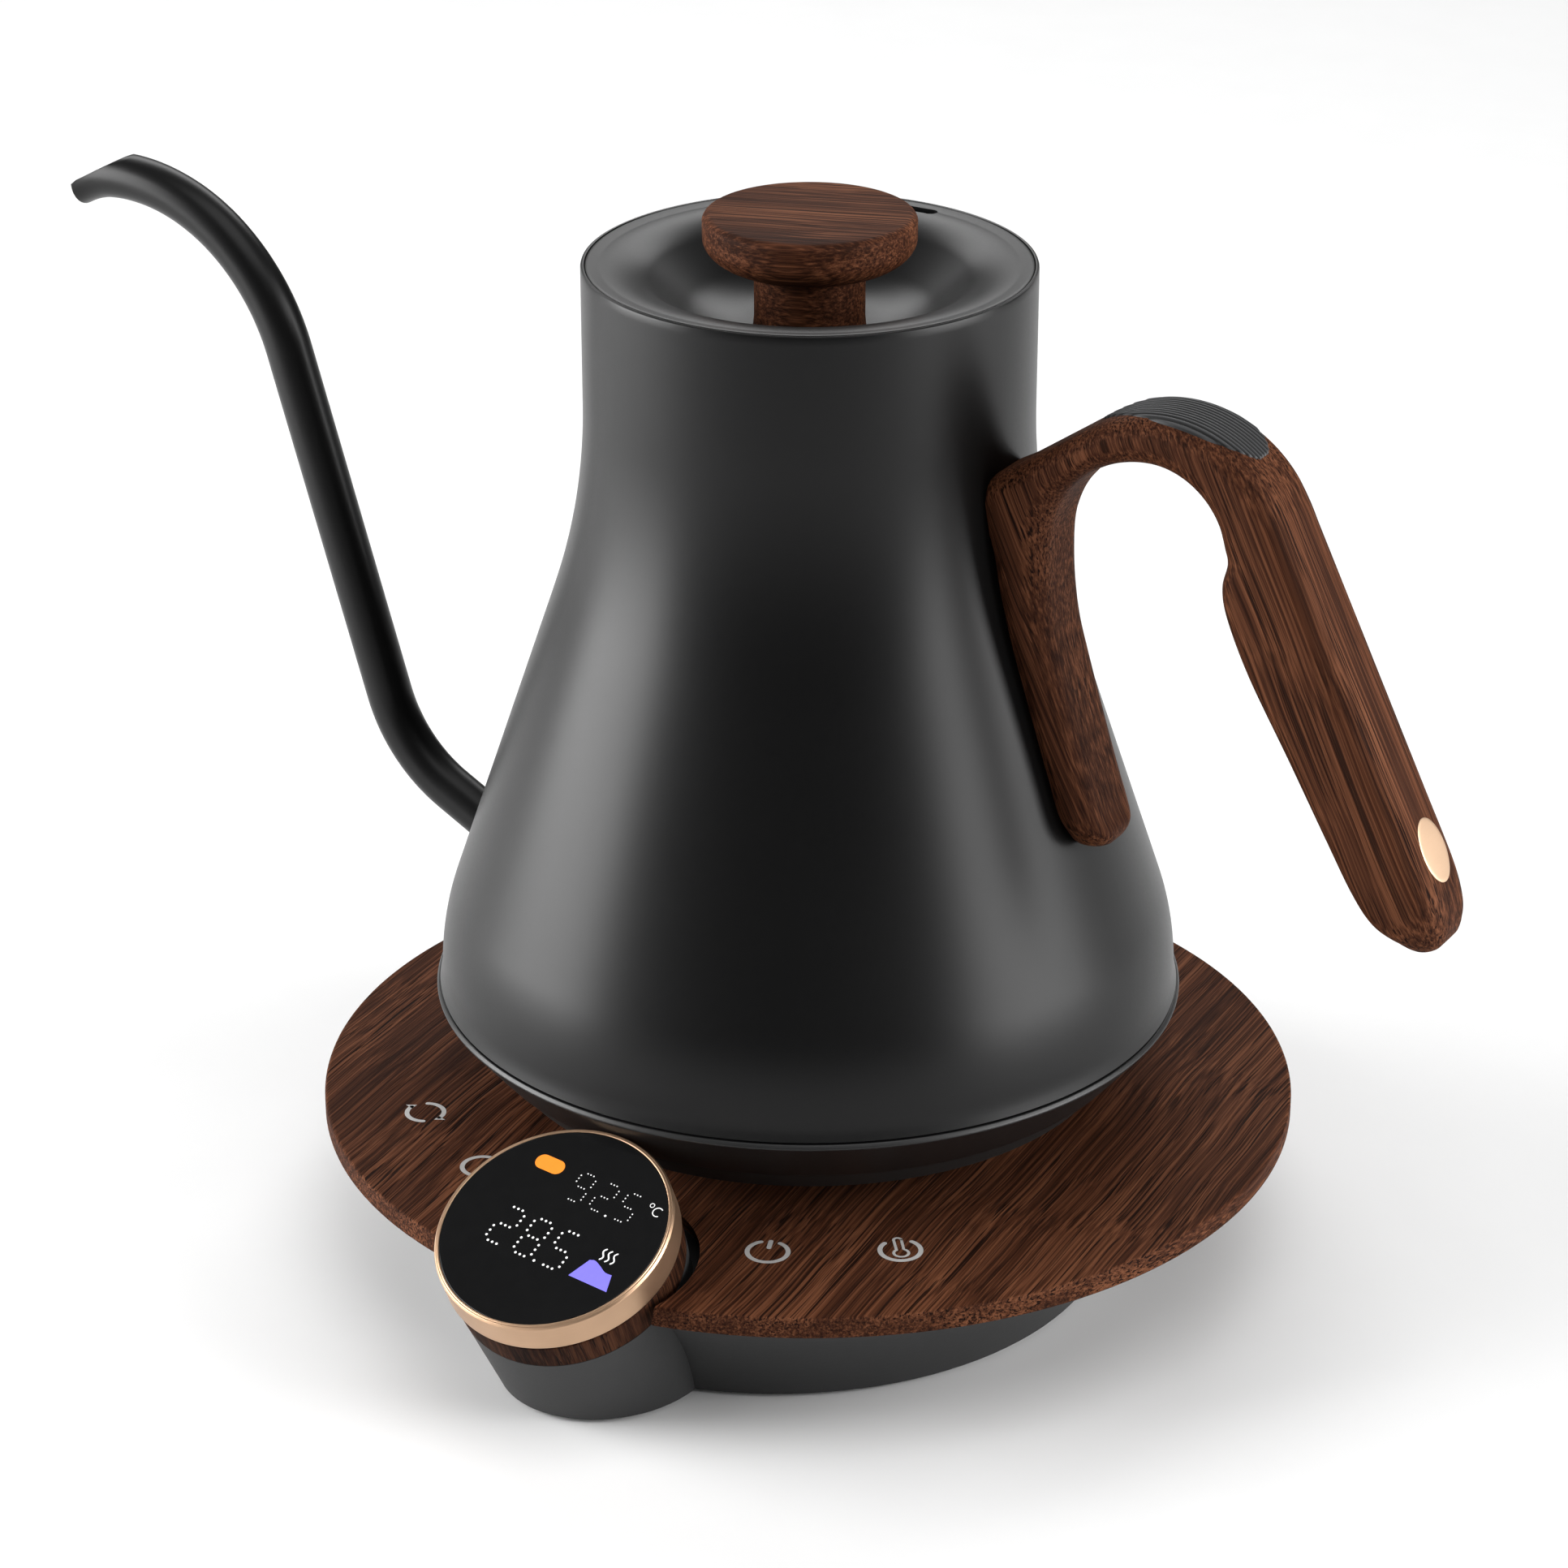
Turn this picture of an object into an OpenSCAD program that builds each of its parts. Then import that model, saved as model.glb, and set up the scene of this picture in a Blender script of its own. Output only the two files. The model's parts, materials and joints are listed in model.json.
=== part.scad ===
// Gooseneck electric kettle on a round touch base with a tilted display dial.
// Origin: on the table, on the axis of the kettle. +Z up, spout towards -X,
// handle towards +X, dial towards -Y.

/* [Kettle] */
// Largest radius of the kettle body, near its foot
body_r = 74.4; // [71:0.1:76]
// Radius of the straight neck
neck_r = 43.9; // [43.5:0.1:44.5]
// Height of the kettle's rim above the table
rim_z = 205.2; // [202:0.1:210]
// Thickness of the steel wall
wall = 1.2; // [0.8:0.1:1.4]
// Angle of the cone's side to the vertical
cone_angle = 18.6; // [18:0.1:19.5]

/* [Spout] */
// Outer radius of the spout tube
spout_r = 4.8; // [4:0.1:5.5]
// Thickness of the spout's wall
spout_wall = 1.0; // [0.6:0.1:1.5]
// Angle of the spout's straight stretch to the vertical
spout_lean = 17.2; // [15:0.1:19]

/* [Handle] */
// Width of the wooden handle
handle_w = 18; // [15:0.5:22]
// Radius of the handle's arch, at its outer face
arch_r = 27.2; // [26.5:0.1:28]

/* [Lid] */
// Radius of the knob's round top
knob_r = 20.6; // [18:0.1:24]
// Height of the knob's top above the table
knob_top_z = 215; // [213:0.1:220]

/* [Base] */
// Radius of the wooden plate
plate_r = 99.4; // [95:0.1:105]
// Thickness of the wooden plate
plate_t = 4.5; // [3:0.1:6]
// Height of the wooden plate's underside above the table
plate_z = 26; // [25:0.1:28]
// Wall thickness of the base housing
shell_t = 2.2; // [1.6:0.1:3]

/* [Dial] */
// Tilt of the dial towards the front
dial_tilt = 25.8; // [20:0.1:30]
// Outer radius of the dial's metal ring
ring_r = 23.7; // [23.5:0.1:24]
// How far the dial can be pressed in
dial_travel = 0.5; // [0.3:0.1:0.5]

/* [Hidden] */
$fn = 96;
eps = 0.01;
fit = 0.05;       // clearance of faces that slide or meet on a curve
big = 400;

plate_top = plate_z + plate_t;

// Body of the kettle: heights of the profile's stretches
seam_z = 54.6;    // lower edge of the steel body, on the skirt
flare_r = body_r + 0.6;
low_z = 57;       // where the side is still upright
low_arc = 55;     // radius of the round stretch below the cone
neck_z = 177;     // where the neck becomes straight
neck_arc = 124;   // radius of the round stretch above the cone
arc_steps = 12;
ring_seat_z = 199.5;  // ledge that the lid rests on
lid_floor = 192.6;    // lowest part of the dished lid
skirt_r = 75.8;
skirt_foot_r = 67;
skirt_foot_z = 43;
pan_z = 38;       // underside of the kettle's bottom pan
foot_r = 47;      // outer radius of the ring that stands on the base

// Housing: a bowl about its own axis, in front of the kettle's
bowl_y = -12;
bowl_r0 = 68.2;   // radius at its lower edge
housing_z = 1;    // lower edge of the housing
deck_t = 2;
cover_t = 2;

// Dial: the centre of the glass, and depths below it along the dial's axis
dial_y = -94.3;
dial_z = 39.6;
ring_depth = 6.45;
wood_top = ring_depth + dial_travel + 0.1;
wood_foot = 13.4;
wood_r = 23.3;
tower_taper = 0.075;   // radius lost per millimetre of depth
stem_r = 7.95;
icon_angles = [-45, -26, 25, 45];
icon_reach = [79.9, 76.8, 74.9, 75.9];  // the icons' distances from the kettle's axis
spring_reach = [77, 77, 77, 77];        // and those of the touch springs under them
screw_angles = [40, 140, 215, 325];
screw_ring = 58;
foot_places = [[0, 0], [30, 36], [-30, 36], [52, -20], [-52, -20], [0, -84]];
pan_screw_angles = [30, 150, 270];
pan_screw_r = 52;

// Spout path: foot of the straight stretch, then round stretches at both ends
spout_foot = [-103.15, 92];
spout_low_arc = 32;
spout_low_turn = 62;
spout_top = [-125.6, 164.5];
spout_mid_arc = 45.2;
spout_mid_turn = 50;
spout_end_arc = 40.6;
spout_end_turn = 108.5;
spout_reach = 20;          // length of the stretch that enters the body
spout_sides = 20;          // sides of the swept tube

// Handle outline, in the X-Z plane
arch = [80, 163.4];        // centre of the arch
grip_lean = 26.7;          // angle of the grip to the vertical
pad_x = 81;                // middle of the thumb pad
pad_len = 35;
pad_w = 14.5;
edge_steps = 4;            // layers in the rounding of the handle's edges
edge_round = 4.5;

walnut = [0.31, 0.19, 0.13];
charcoal = [0.14, 0.14, 0.145];
black = [0.05, 0.05, 0.05];
gold = [0.82, 0.66, 0.52];
steel = [0.72, 0.72, 0.74];
brass = [0.8, 0.62, 0.3];
board_green = [0.08, 0.3, 0.16];
icon_grey = [0.75, 0.75, 0.75];

// ---------- shared shapes ----------

function arc_points(c, r, a0, a1, n) =
  [for (i = [0:n]) c + r * [cos(a0 + (a1 - a0) * i / n), sin(a0 + (a1 - a0) * i / n)]];

// Right-hand side of the kettle, from the seam up to a height, moved in by d
function body_side(top, d) = concat(
  [[flare_r - d, seam_z]],
  arc_points([body_r - low_arc - d, low_z], low_arc, 0, cone_angle, arc_steps),
  arc_points([neck_r + neck_arc - d, neck_z], neck_arc, 180 + cone_angle, 180, arc_steps),
  [[neck_r - d, top]]
);

module body_solid(grow) {
  rotate_extrude() polygon(concat([[0, rim_z], [0, seam_z]], body_side(rim_z, -grow)));
}

module washer(ro, ri, z0, z1) {
  translate([0, 0, z0]) difference() {
    cylinder(h = z1 - z0, r = ro);
    translate([0, 0, -1]) cylinder(h = z1 - z0 + 2, r = ri);
  }
}

module rod(r, z0, z1) {
  translate([0, 0, z0]) cylinder(h = z1 - z0, r = r);
}

module dial_frame() {
  translate([0, dial_y, dial_z]) rotate([dial_tilt, 0, 0]) children();
}

// A slice of a solid between two heights
module between(z0, z1) {
  intersection() {
    children();
    translate([-big / 2, -big / 2, z0]) cube([big, big, z1 - z0]);
  }
}

function bowl_r(z) = bowl_r0 + 0.33 * (z - housing_z) + 0.0105 * pow(z - housing_z, 2);

module bowl(inset, z0, z1) {
  steps = 24;
  side = [for (i = [0:steps]) let (z = z0 + (z1 - z0) * i / steps) [bowl_r(z) - inset, z]];
  translate([0, bowl_y, 0]) rotate_extrude() polygon(concat([[0, z1], [0, z0]], side));
}

// The tilted tower that carries the dial, from a depth down to the table
module tower(inset, top_depth, z0) {
  low_depth = 56;
  r_top = wood_r - tower_taper * (top_depth - wood_top) - inset;
  r_low = wood_r - tower_taper * (low_depth - wood_top) - inset;
  between(z0, big) dial_frame() translate([0, 0, -low_depth])
    cylinder(h = low_depth - top_depth, r1 = r_low, r2 = r_top);
}

module at_cover_screws() {
  for (a = screw_angles)
    translate([screw_ring * cos(a), bowl_y + screw_ring * sin(a), 0]) children();
}

// At the four icons, with their distances from the axis
module at_icons(reach) {
  for (i = [0:3]) rotate([0, 0, icon_angles[i]]) translate([0, -reach[i], 0]) children();
}

// ---------- base ----------

module feet() {
  color(black) for (p = foot_places) translate([p[0], p[1], 0]) rod(6, 0, 2);
}

module base_bottom_cover() {
  color(black) difference() {
    union() {
      translate([0, bowl_y, 0]) rod(bowl_r0 - shell_t - 0.2, housing_z, housing_z + cover_t);
      between(housing_z, housing_z + cover_t) tower(shell_t + 0.2, wood_foot, housing_z);
      for (x = [-38, 38], y = [-54, -26]) translate([x, y, 0]) rod(2.5, housing_z + cover_t, 6);
    }
    for (p = foot_places) translate([p[0], p[1], 0]) rod(6, 0, 2);
    at_cover_screws() {
      rod(1.7, 0, 5);
      rod(3, 0, 2);
    }
  }
}

module base_screws() {
  color(steel) at_cover_screws() {
    rod(2.8, housing_z + 0.1, 2);
    rod(1.5, 2, 14);
  }
}

module base_housing() {
  deck_z = plate_z - deck_t;
  color(charcoal) difference() {
    union() {
      difference() {
        union() {
          bowl(0, housing_z, plate_z);
          tower(0, wood_foot, housing_z);
        }
        bowl(shell_t, housing_z - eps, deck_z);
        tower(shell_t, wood_foot + 2, housing_z - eps);
        dial_frame() rod(wood_r + 0.4, -wood_foot, 30);
      }
      at_cover_screws() rod(3.5, housing_z + cover_t, deck_z + eps);
      dial_frame() washer(stem_r + 2, stem_r + fit, -wood_foot - eps, -8.6);
    }
    at_cover_screws() rod(1.6, 0, 16);
    at_icons(spring_reach) rod(4.2, deck_z - 1, plate_z + 1);
    rod(18, deck_z - 1, plate_z + 1);
    dial_frame() translate([12, 0, -18]) cylinder(h = 7, r = 2.5);
    translate([0, 40, 10.5]) rotate([-90, 0, 0]) cylinder(h = 30, r = 5.5);
  }
}

module base_plate() {
  color(walnut) difference() {
    rod(plate_r, plate_z, plate_top);
    rod(24.2, plate_z - 1, plate_top + 1);
    dial_frame() rod(24.7, -30, 20);
    at_icons(icon_reach) rod(4.6, plate_top - 0.2, plate_top + 1);
  }
}

// A round symbol: an open ring with a mark in it, printed in a shallow seat
module icon_mark(kind) {
  h = 0.2;
  difference() {
    washer(4.4, 3.7, 0, h);
    if (kind == "power") translate([-1.5, 1, -1]) cube([3, 5, 2]);
    if (kind == "heat") translate([-2.2, 1, -1]) cube([4.4, 5, 2]);
    if (kind == "loop") for (a = [35, 215]) rotate([0, 0, a]) translate([0, -1, -1]) cube([6, 2, 2]);
  }
  if (kind == "power") translate([-0.4, 0, 0]) cube([0.8, 4, h]);
  if (kind == "heat") {
    translate([0, -0.9, 0]) cylinder(h = h, r = 1.3);
    translate([-0.6, -0.9, 0]) cube([1.2, 4.4, h]);
  }
  if (kind == "timer") {
    translate([-0.3, 0, 0]) cube([0.6, 2.6, h]);
    translate([-0.3, -0.3, 0]) cube([2.2, 0.6, h]);
  }
}

module touch_icons() {
  kinds = ["loop", "timer", "power", "heat"];
  color(icon_grey) for (i = [0:3])
    rotate([0, 0, icon_angles[i]]) translate([0, -icon_reach[i], plate_top - 0.2]) icon_mark(kinds[i]);
}

module touch_boards() {
  board_z = 22;
  color(board_green) for (side = [-1, 1]) translate([0, 0, board_z])
    rotate([0, 0, side > 0 ? -70 : -143]) rotate_extrude(angle = 33) translate([70, 0]) square([13, 1.6]);
}

module touch_springs() {
  color(brass) at_icons(spring_reach) washer(3.6, 3.0, 23.6, plate_z);
}

module base_connector() {
  color(black) difference() {
    union() {
      rod(24, plate_z, plate_top + 1);
      rod(17.8, 14, plate_z + eps);
      rod(8.5, plate_top, 44);
    }
    rod(2.2, 30, 45);
    washer(4.8, 3.3, 35, 45);
    washer(5.3, 4.6, 36, 42);
  }
}

module base_contacts() {
  color(brass) {
    washer(5.3, 4.8, 36, 42);
    for (x = [-6, 0, 6]) translate([x - 1, 10, 10]) cube([2, 0.8, 4]);
  }
}

module cord_inlet() {
  color(black) translate([0, 50, 10.5]) rotate([-90, 0, 0]) difference() {
    union() {
      cylinder(h = 14, r = 5.4);
      cylinder(h = 4, r = 7.2);
    }
    translate([0, 0, -1]) cylinder(h = 20, r = 3.6);
  }
}

module control_board() {
  color(board_green) difference() {
    translate([-42, -58, 6]) cube([84, 36, 1.6]);
    for (x = [-38, 38], y = [-54, -26]) translate([x, y, 0]) rod(1.2, 5, 9);
  }
}

module relay() {
  color([0.1, 0.25, 0.5]) translate([-34, -50, 7.6]) cube([19, 15, 13]);
}

module transformer() {
  color([0.75, 0.6, 0.15]) union() {
    translate([12, -52, 7.6]) cube([18, 16, 4]);
    translate([14, -50, 11.6]) cube([14, 12, 8]);
  }
}

module capacitor() {
  color([0.1, 0.1, 0.3]) translate([-2, -46, 0]) rod(6, 7.6, 20);
}

module buzzer() {
  color(black) translate([-2, -29, 0]) difference() {
    rod(5.5, 7.6, 13);
    rod(1, 12, 14);
  }
}

module terminal_block() {
  color([0.85, 0.85, 0.82]) difference() {
    translate([-12, 28, 3]) cube([24, 12, 10]);
    for (x = [-8, 0, 8]) translate([x, 34, 0]) rod(2, 8, 14);
  }
}

module encoder_board() {
  color(board_green) dial_frame() washer(20, 10.2, -wood_foot, -wood_foot + 1.4);
}

module dial_switch() {
  color(steel) dial_frame() difference() {
    translate([-3, -3, -wood_foot]) cube([6, 6, 2.5]);
    rod(1.6, -12.2, -10);
  }
}

module dial_wood_ring() {
  r_low = wood_r - tower_taper * (wood_foot - wood_top);
  color(walnut) dial_frame() difference() {
    translate([0, 0, -wood_foot]) cylinder(h = wood_foot - wood_top, r1 = r_low, r2 = wood_r);
    rod(21.7, -wood_foot - 1, 0);
  }
}

// ---------- dial ----------

module dial_ring() {
  inner = 22.55;
  color(gold) dial_frame() rotate_extrude() polygon(concat(
    [[inner, -ring_depth], [ring_r, -ring_depth]],
    arc_points([ring_r - 0.5, -0.5], 0.5, 0, 90, 5),
    [[inner, 0]]
  ));
}

// Slotted wheel under the ring, read by the sensor on the encoder board
module encoder_wheel() {
  slots = 24;
  color([0.85, 0.85, 0.85]) dial_frame() difference() {
    union() {
      washer(22.55, 19.6, -ring_depth, -5.4);
      washer(21.3, 20.2, -10, -ring_depth);
    }
    for (i = [0:slots - 1]) rotate([0, 0, i * 360 / slots])
      translate([19, -0.8, -11]) cube([4, 1.6, 3]);
  }
}

module dial_glass() {
  color([0.04, 0.04, 0.04]) dial_frame() rod(22.4, -1.2, 0);
}

module display_module() {
  color(board_green) dial_frame() rod(20.5, -3.4, -1.3);
}

module dial_carrier() {
  color(black) dial_frame() difference() {
    union() {
      rod(22.5, -5.3, -1.2);
      rod(stem_r, -9.6, -5.3 + eps);
    }
    rod(21, -3.4, 0);
    translate([0, 5, 0]) rod(1.5, -12, 0);
  }
}

module switch_plunger() {
  color("white") dial_frame() rod(1.5, -11.3, -9.6);
}

// ---------- kettle ----------

module kettle_body() {
  color(charcoal) difference() {
    rotate_extrude() polygon(concat(
      body_side(rim_z - 0.35, 0),
      arc_points([neck_r - 0.35, rim_z - 0.35], 0.35, 0, 180, 6),
      [[neck_r - 0.7, ring_seat_z], [neck_r - wall, ring_seat_z]],
      [for (i = [2 * arc_steps + 2:-1:0]) body_side(0, wall)[i]]
    ));
    spout_hole();
  }
}

// Ring welded inside the neck, which the lid rests on
module neck_ring() {
  color(steel) washer(neck_r - wall, 40.9, ring_seat_z - 1.5, ring_seat_z);
}

module kettle_skirt() {
  inset = 2.4;
  color(charcoal) rotate_extrude() polygon(concat(
    [[skirt_foot_r - inset, skirt_foot_z], [skirt_foot_r, skirt_foot_z]],
    arc_points([skirt_r - 0.6, seam_z - 0.6], 0.6, -37, 90, 6),
    [[skirt_r - 3.4, seam_z]]
  ));
}

module kettle_bottom() {
  color(black) difference() {
    union() {
      rotate_extrude() polygon([
        [17, pan_z], [62.3, pan_z], [65.5, skirt_foot_z], [62.5, skirt_foot_z],
        [60.5, pan_z + 2], [17, pan_z + 2]
      ]);
      washer(foot_r, foot_r - 3, plate_top, pan_z + eps);
    }
    at_pan_screws() {
      rod(1.7, pan_z - 1, pan_z + 4);
      rod(3.2, pan_z - 1, pan_z + 1);
    }
  }
}

module at_pan_screws() {
  for (a = pan_screw_angles) rotate([0, 0, a]) translate([pan_screw_r, 0, 0]) children();
}

module bottom_screws() {
  color(steel) at_pan_screws() {
    rod(3, pan_z + 0.1, pan_z + 1);
    rod(1.5, pan_z + 1, 51);
  }
}

module kettle_socket() {
  color(black) difference() {
    union() {
      rod(16.8, pan_z, 51);
      rod(22, pan_z + 2, pan_z + 4);
    }
    rod(9, pan_z - 1, 45);
    kettle_contacts_solid();
  }
}

module kettle_contacts_solid() {
  rod(1.4, 36.5, 50);
  washer(4.3, 3.8, 36.5, 47);
}

module kettle_contacts() {
  color(brass) kettle_contacts_solid();
}

module boil_plate() {
  color(steel) difference() {
    rod(body_r - wall - 0.1, 56, 57);
    translate([0, 24, 0]) rod(3.5, 50, 60);
  }
}

module heat_plate() {
  color(steel) difference() {
    union() {
      rod(58, 53, 56);
      at_pan_screws() rod(3.6, 46, 53 + eps);
    }
    at_pan_screws() rod(1.6, 45, 52);
    translate([0, 24, 0]) rod(3.5, 50, 60);
  }
}

module heating_element() {
  ring = 42;
  tube = 3.2;
  color([0.5, 0.5, 0.52]) {
    translate([0, 0, 53 - tube]) rotate([0, 0, 285]) rotate_extrude(angle = 330)
      translate([ring, 0]) circle(r = tube);
    for (a = [285, 255]) rotate([0, 0, a]) translate([ring, 0, 53 - tube])
      rotate([a == 285 ? 90 : -90, 0, 0]) cylinder(h = 6, r = 1.6);
  }
}

module thermal_cutouts() {
  color([0.85, 0.8, 0.7]) for (x = [-26, 26]) translate([x, 4, 0]) {
    rod(6, 48, 53);
    for (y = [-3, 3]) translate([-1.5, y - 0.4, 45]) cube([3, 0.8, 3]);
  }
}

module temperature_probe() {
  color(steel) translate([0, 24, 0]) {
    rod(3.5, 50, 60);
    translate([0, 0, 60]) cylinder(h = 2, r1 = 3.5, r2 = 2.5);
  }
}

function lean_dir(a) = [cos(a), sin(a)];
function spout_low_c() = spout_foot + spout_low_arc * lean_dir(spout_lean);
function spout_low_end() = spout_low_c() - spout_low_arc * lean_dir(spout_low_turn);
function spout_mid_c() = spout_top - spout_mid_arc * lean_dir(spout_lean);
function spout_end_c() = spout_mid_c() + (spout_mid_arc - spout_end_arc) * lean_dir(spout_mid_turn);
function spout_root_end() = spout_low_end() + spout_reach * [sin(spout_low_turn), -cos(spout_low_turn)];

// Stations [x, z, lean] along a round stretch about c
function bend(c, radius, a0, a1, n) = [
  for (i = [0:n]) let (a = a0 + (a1 - a0) * i / n, p = c + radius * lean_dir(a)) [p[0], p[1], a]
];

// The spout's centre line, from inside the body to the mouth
function spout_stations() = concat(
  [[spout_root_end()[0], spout_root_end()[1], spout_low_turn]],
  bend(spout_low_c(), -spout_low_arc, spout_low_turn, spout_lean, 8),
  bend(spout_mid_c(), spout_mid_arc, spout_lean, spout_mid_turn, 7),
  [for (s = bend(spout_end_c(), spout_end_arc, spout_mid_turn, spout_end_turn, 11))
    if (s[2] > spout_mid_turn) s]
);

// One ring of a swept tube: a circle of radius r square to the centre line
function ring_at(s, r) = [
  for (k = [0:spout_sides - 1]) let (t = 360 * k / spout_sides)
    [s[0] + r * cos(t) * cos(s[2]), r * sin(t), s[1] + r * cos(t) * sin(s[2])]
];

module swept_tube(stations, r, w) {
  n = len(stations);
  m = spout_sides;
  outer = [for (s = stations) each ring_at(s, r)];
  inner = [for (s = stations) each ring_at(s, r - w)];
  function quad(o, i, k, flip) = let (
    a = o + i * m + k, b = o + i * m + (k + 1) % m, q = [a, b, b + m, a + m]
  ) flip ? [q[3], q[2], q[1], q[0]] : q;
  shift = n * m;
  polyhedron(
    points = concat(outer, inner),
    faces = concat(
      [for (i = [0:n - 2], k = [0:m - 1]) quad(0, i, k, false)],
      [for (i = [0:n - 2], k = [0:m - 1]) quad(shift, i, k, true)],
      [for (k = [0:m - 1]) [k, shift + k, shift + (k + 1) % m, (k + 1) % m]],
      [for (k = [0:m - 1]) let (e = (n - 1) * m, next = (k + 1) % m)
        [e + k, e + next, shift + e + next, shift + e + k]]
    ),
    convexity = 6
  );
}

module spout() {
  color(charcoal) difference() {
    swept_tube(spout_stations(), spout_r, spout_wall);
    spout_mouth();
  }
}

// The oblique cut that opens the spout's end
module spout_mouth() {
  translate([-163.3, -20, 200.7]) rotate([0, -28.5, 0]) translate([-40, 0, 0]) cube([40, 40, 20]);
}

module spout_hole() {
  end = spout_low_end();
  translate([end[0], 0, end[1]]) rotate([0, 180 - spout_low_turn, 0]) cylinder(h = 30, r = spout_r);
}

// ---------- handle ----------

// Outline of the handle seen from the side, clockwise from its foot on the body
function handle_outline() = concat(
  [[66.5, 98], [40, 157], [40, 169]],
  arc_points(arch, arch_r, 125, grip_lean, 14),
  [[137, 110.6], [139.4, 104], [140.3, 100.3], [139.8, 97], [138, 95]],
  [[134, 94.8], [129.6, 96.3], [126.4, 98.4], [123.3, 101.6], [121, 105]],
  [[98.6, 142.7], [95.4, 149.5]],
  arc_points([106.5, 159.4], 14.2, 205, 162, 4),
  arc_points([76.8, 164.6], 16, 0, 84, 8),
  arc_points([76.8, 159.6], 21, 90, 178, 10),
  [[57.4, 142], [61.4, 128], [68.6, 106]],
  arc_points([67.0, 102.6], 3.4, 40, -100, 4)
);

module handle_solid() {
  half = handle_w / 2;
  for (i = [0:edge_steps]) {
    a = 90 * i / edge_steps;
    h = half - edge_round * (1 - cos(a));
    rotate([90, 0, 0]) translate([0, 0, -h]) linear_extrude(height = 2 * h)
      offset(delta = -edge_round * (1 - sin(a))) polygon(handle_outline());
  }
}

module pad_solid() {
  side_r = (pow(pad_len / 2, 2) + pow(pad_w / 2, 2)) / pad_w;
  intersection() {
    translate([arch[0], 0, arch[1]]) rotate([90, 0, 0])
      translate([0, 0, -10]) washer(arch_r + 0.5, arch_r - 1.5, 0, 20);
    lens(side_r);
    translate([pad_x - pad_len, -10, arch[1]]) cube([2 * pad_len, 20, 60]);
  }
}

// Two arcs that meet in points, seen from above
module lens(side_r) {
  shift = side_r - pad_w / 2;
  intersection() {
    translate([pad_x, shift, 0]) rod(side_r, 150, 230);
    translate([pad_x, -shift, 0]) rod(side_r, 150, 230);
  }
}

module badge_place() {
  translate([135.1, 0, 113.9]) rotate([0, 90 - grip_lean, 0]) children();
}

module badge_solid(grow) {
  badge_place() linear_extrude(height = 0.8 + grow) union() {
    for (y = [-2, 2]) translate([y, 0]) circle(r = 4.6);
    translate([-2, -4.6]) square([4, 9.2]);
  }
}

// Steel strap along the body, under the wood, with a lug for the handle's screw
module bracket_solid() {
  rotate([90, 0, 0]) translate([0, 0, -4]) linear_extrude(height = 8) polygon([
    [52, 117], [62.6, 117], [61.2, 122], [57.6, 125], [52.9, 139], [49.3, 152.5], [48.1, 160],
    [47.2, 168], [42, 168], [42, 152.5]
  ]);
}

// Screw from the handle's lower tip up into the lug, and its counterbore
module handle_screw_solid(head_z) {
  translate([66.4, 0, 101.5]) rotate([0, -cone_angle, 0]) {
    rod(2.4, head_z, 1.5);
    rod(1.5, 1.5 - eps, 20);
  }
}

module handle_grip() {
  color(walnut) difference() {
    handle_solid();
    body_solid(fit);
    bracket_solid();
    handle_screw_solid(-8);
    pad_solid();
    badge_solid(1);
  }
}

module handle_bracket() {
  color(steel) difference() {
    bracket_solid();
    body_solid(fit);
    handle_screw_solid(0);
  }
}

module handle_screw() {
  color(steel) handle_screw_solid(0);
}

module thumb_pad() {
  color(black) pad_solid();
}

module handle_badge() {
  color(gold) badge_solid(0);
}

// ---------- lid ----------

// Upper face of the dished lid, from its rim inwards, moved down by d
function lid_face(d) = concat(
  [[43, 205 - d], [42.4, 205.2 - d]],
  arc_points([39.5, 190.9 - d], 14, 87, 128, 6),
  arc_points([12, lid_floor + 20 - d], 20, -52, -90, 6)
);

module lid_shell() {
  upper = lid_face(0);
  lower = lid_face(1);
  color(charcoal) difference() {
    rotate_extrude() polygon(concat(
      [[43, ring_seat_z]], upper, [[2.2, lid_floor], [2.2, lid_floor - 1]],
      [for (i = [len(lower) - 1:-1:2]) lower[i]],
      [[42, 204], [42, ring_seat_z]]
    ));
    translate([-4.2, 39.6, 0]) rod(1.3, 190, 210);
    translate([4.2, 39.6, 0]) rod(1.3, 190, 210);
    translate([-4.2, 38.3, 190]) cube([8.4, 2.6, 20]);
  }
}

module lid_inner() {
  color(steel) difference() {
    union() {
      rod(39.4, 190, 191.2);
      washer(39.4, 38.4, 191.2 - eps, 202);
      rod(6, 191, lid_floor - 1);
      washer(39.9, 39, 194.6, 195.4);
    }
    rod(2.1, 189, 196);
    for (a = [0:60:300]) rotate([0, 0, a]) translate([26, 0, 0]) rod(2.5, 189, 192);
  }
}

module lid_gasket() {
  color([0.75, 0.75, 0.75]) washer(40.6, 39.4, 195.4, 197.6);
}

module lid_knob() {
  neck = 10.7;
  side_z = knob_top_z - 4.5;
  color(walnut) difference() {
    rotate_extrude() polygon(concat(
      [[0, knob_top_z], [0, lid_floor], [neck, lid_floor], [neck, side_z - 6.1]],
      [for (i = [6:-1:0]) let (t = 80 * i / 6) [neck + (knob_r - neck) * cos(t), side_z - 6.2 * sin(t)]],
      arc_points([knob_r - 1.8, knob_top_z - 1.8], 1.8, 0, 90, 6)
    ));
    rod(2, 190, 206);
  }
}

module knob_screw() {
  color(steel) {
    rod(4, 188.2, 190);
    rod(2, 190 - eps, 205.5);
  }
}

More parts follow.
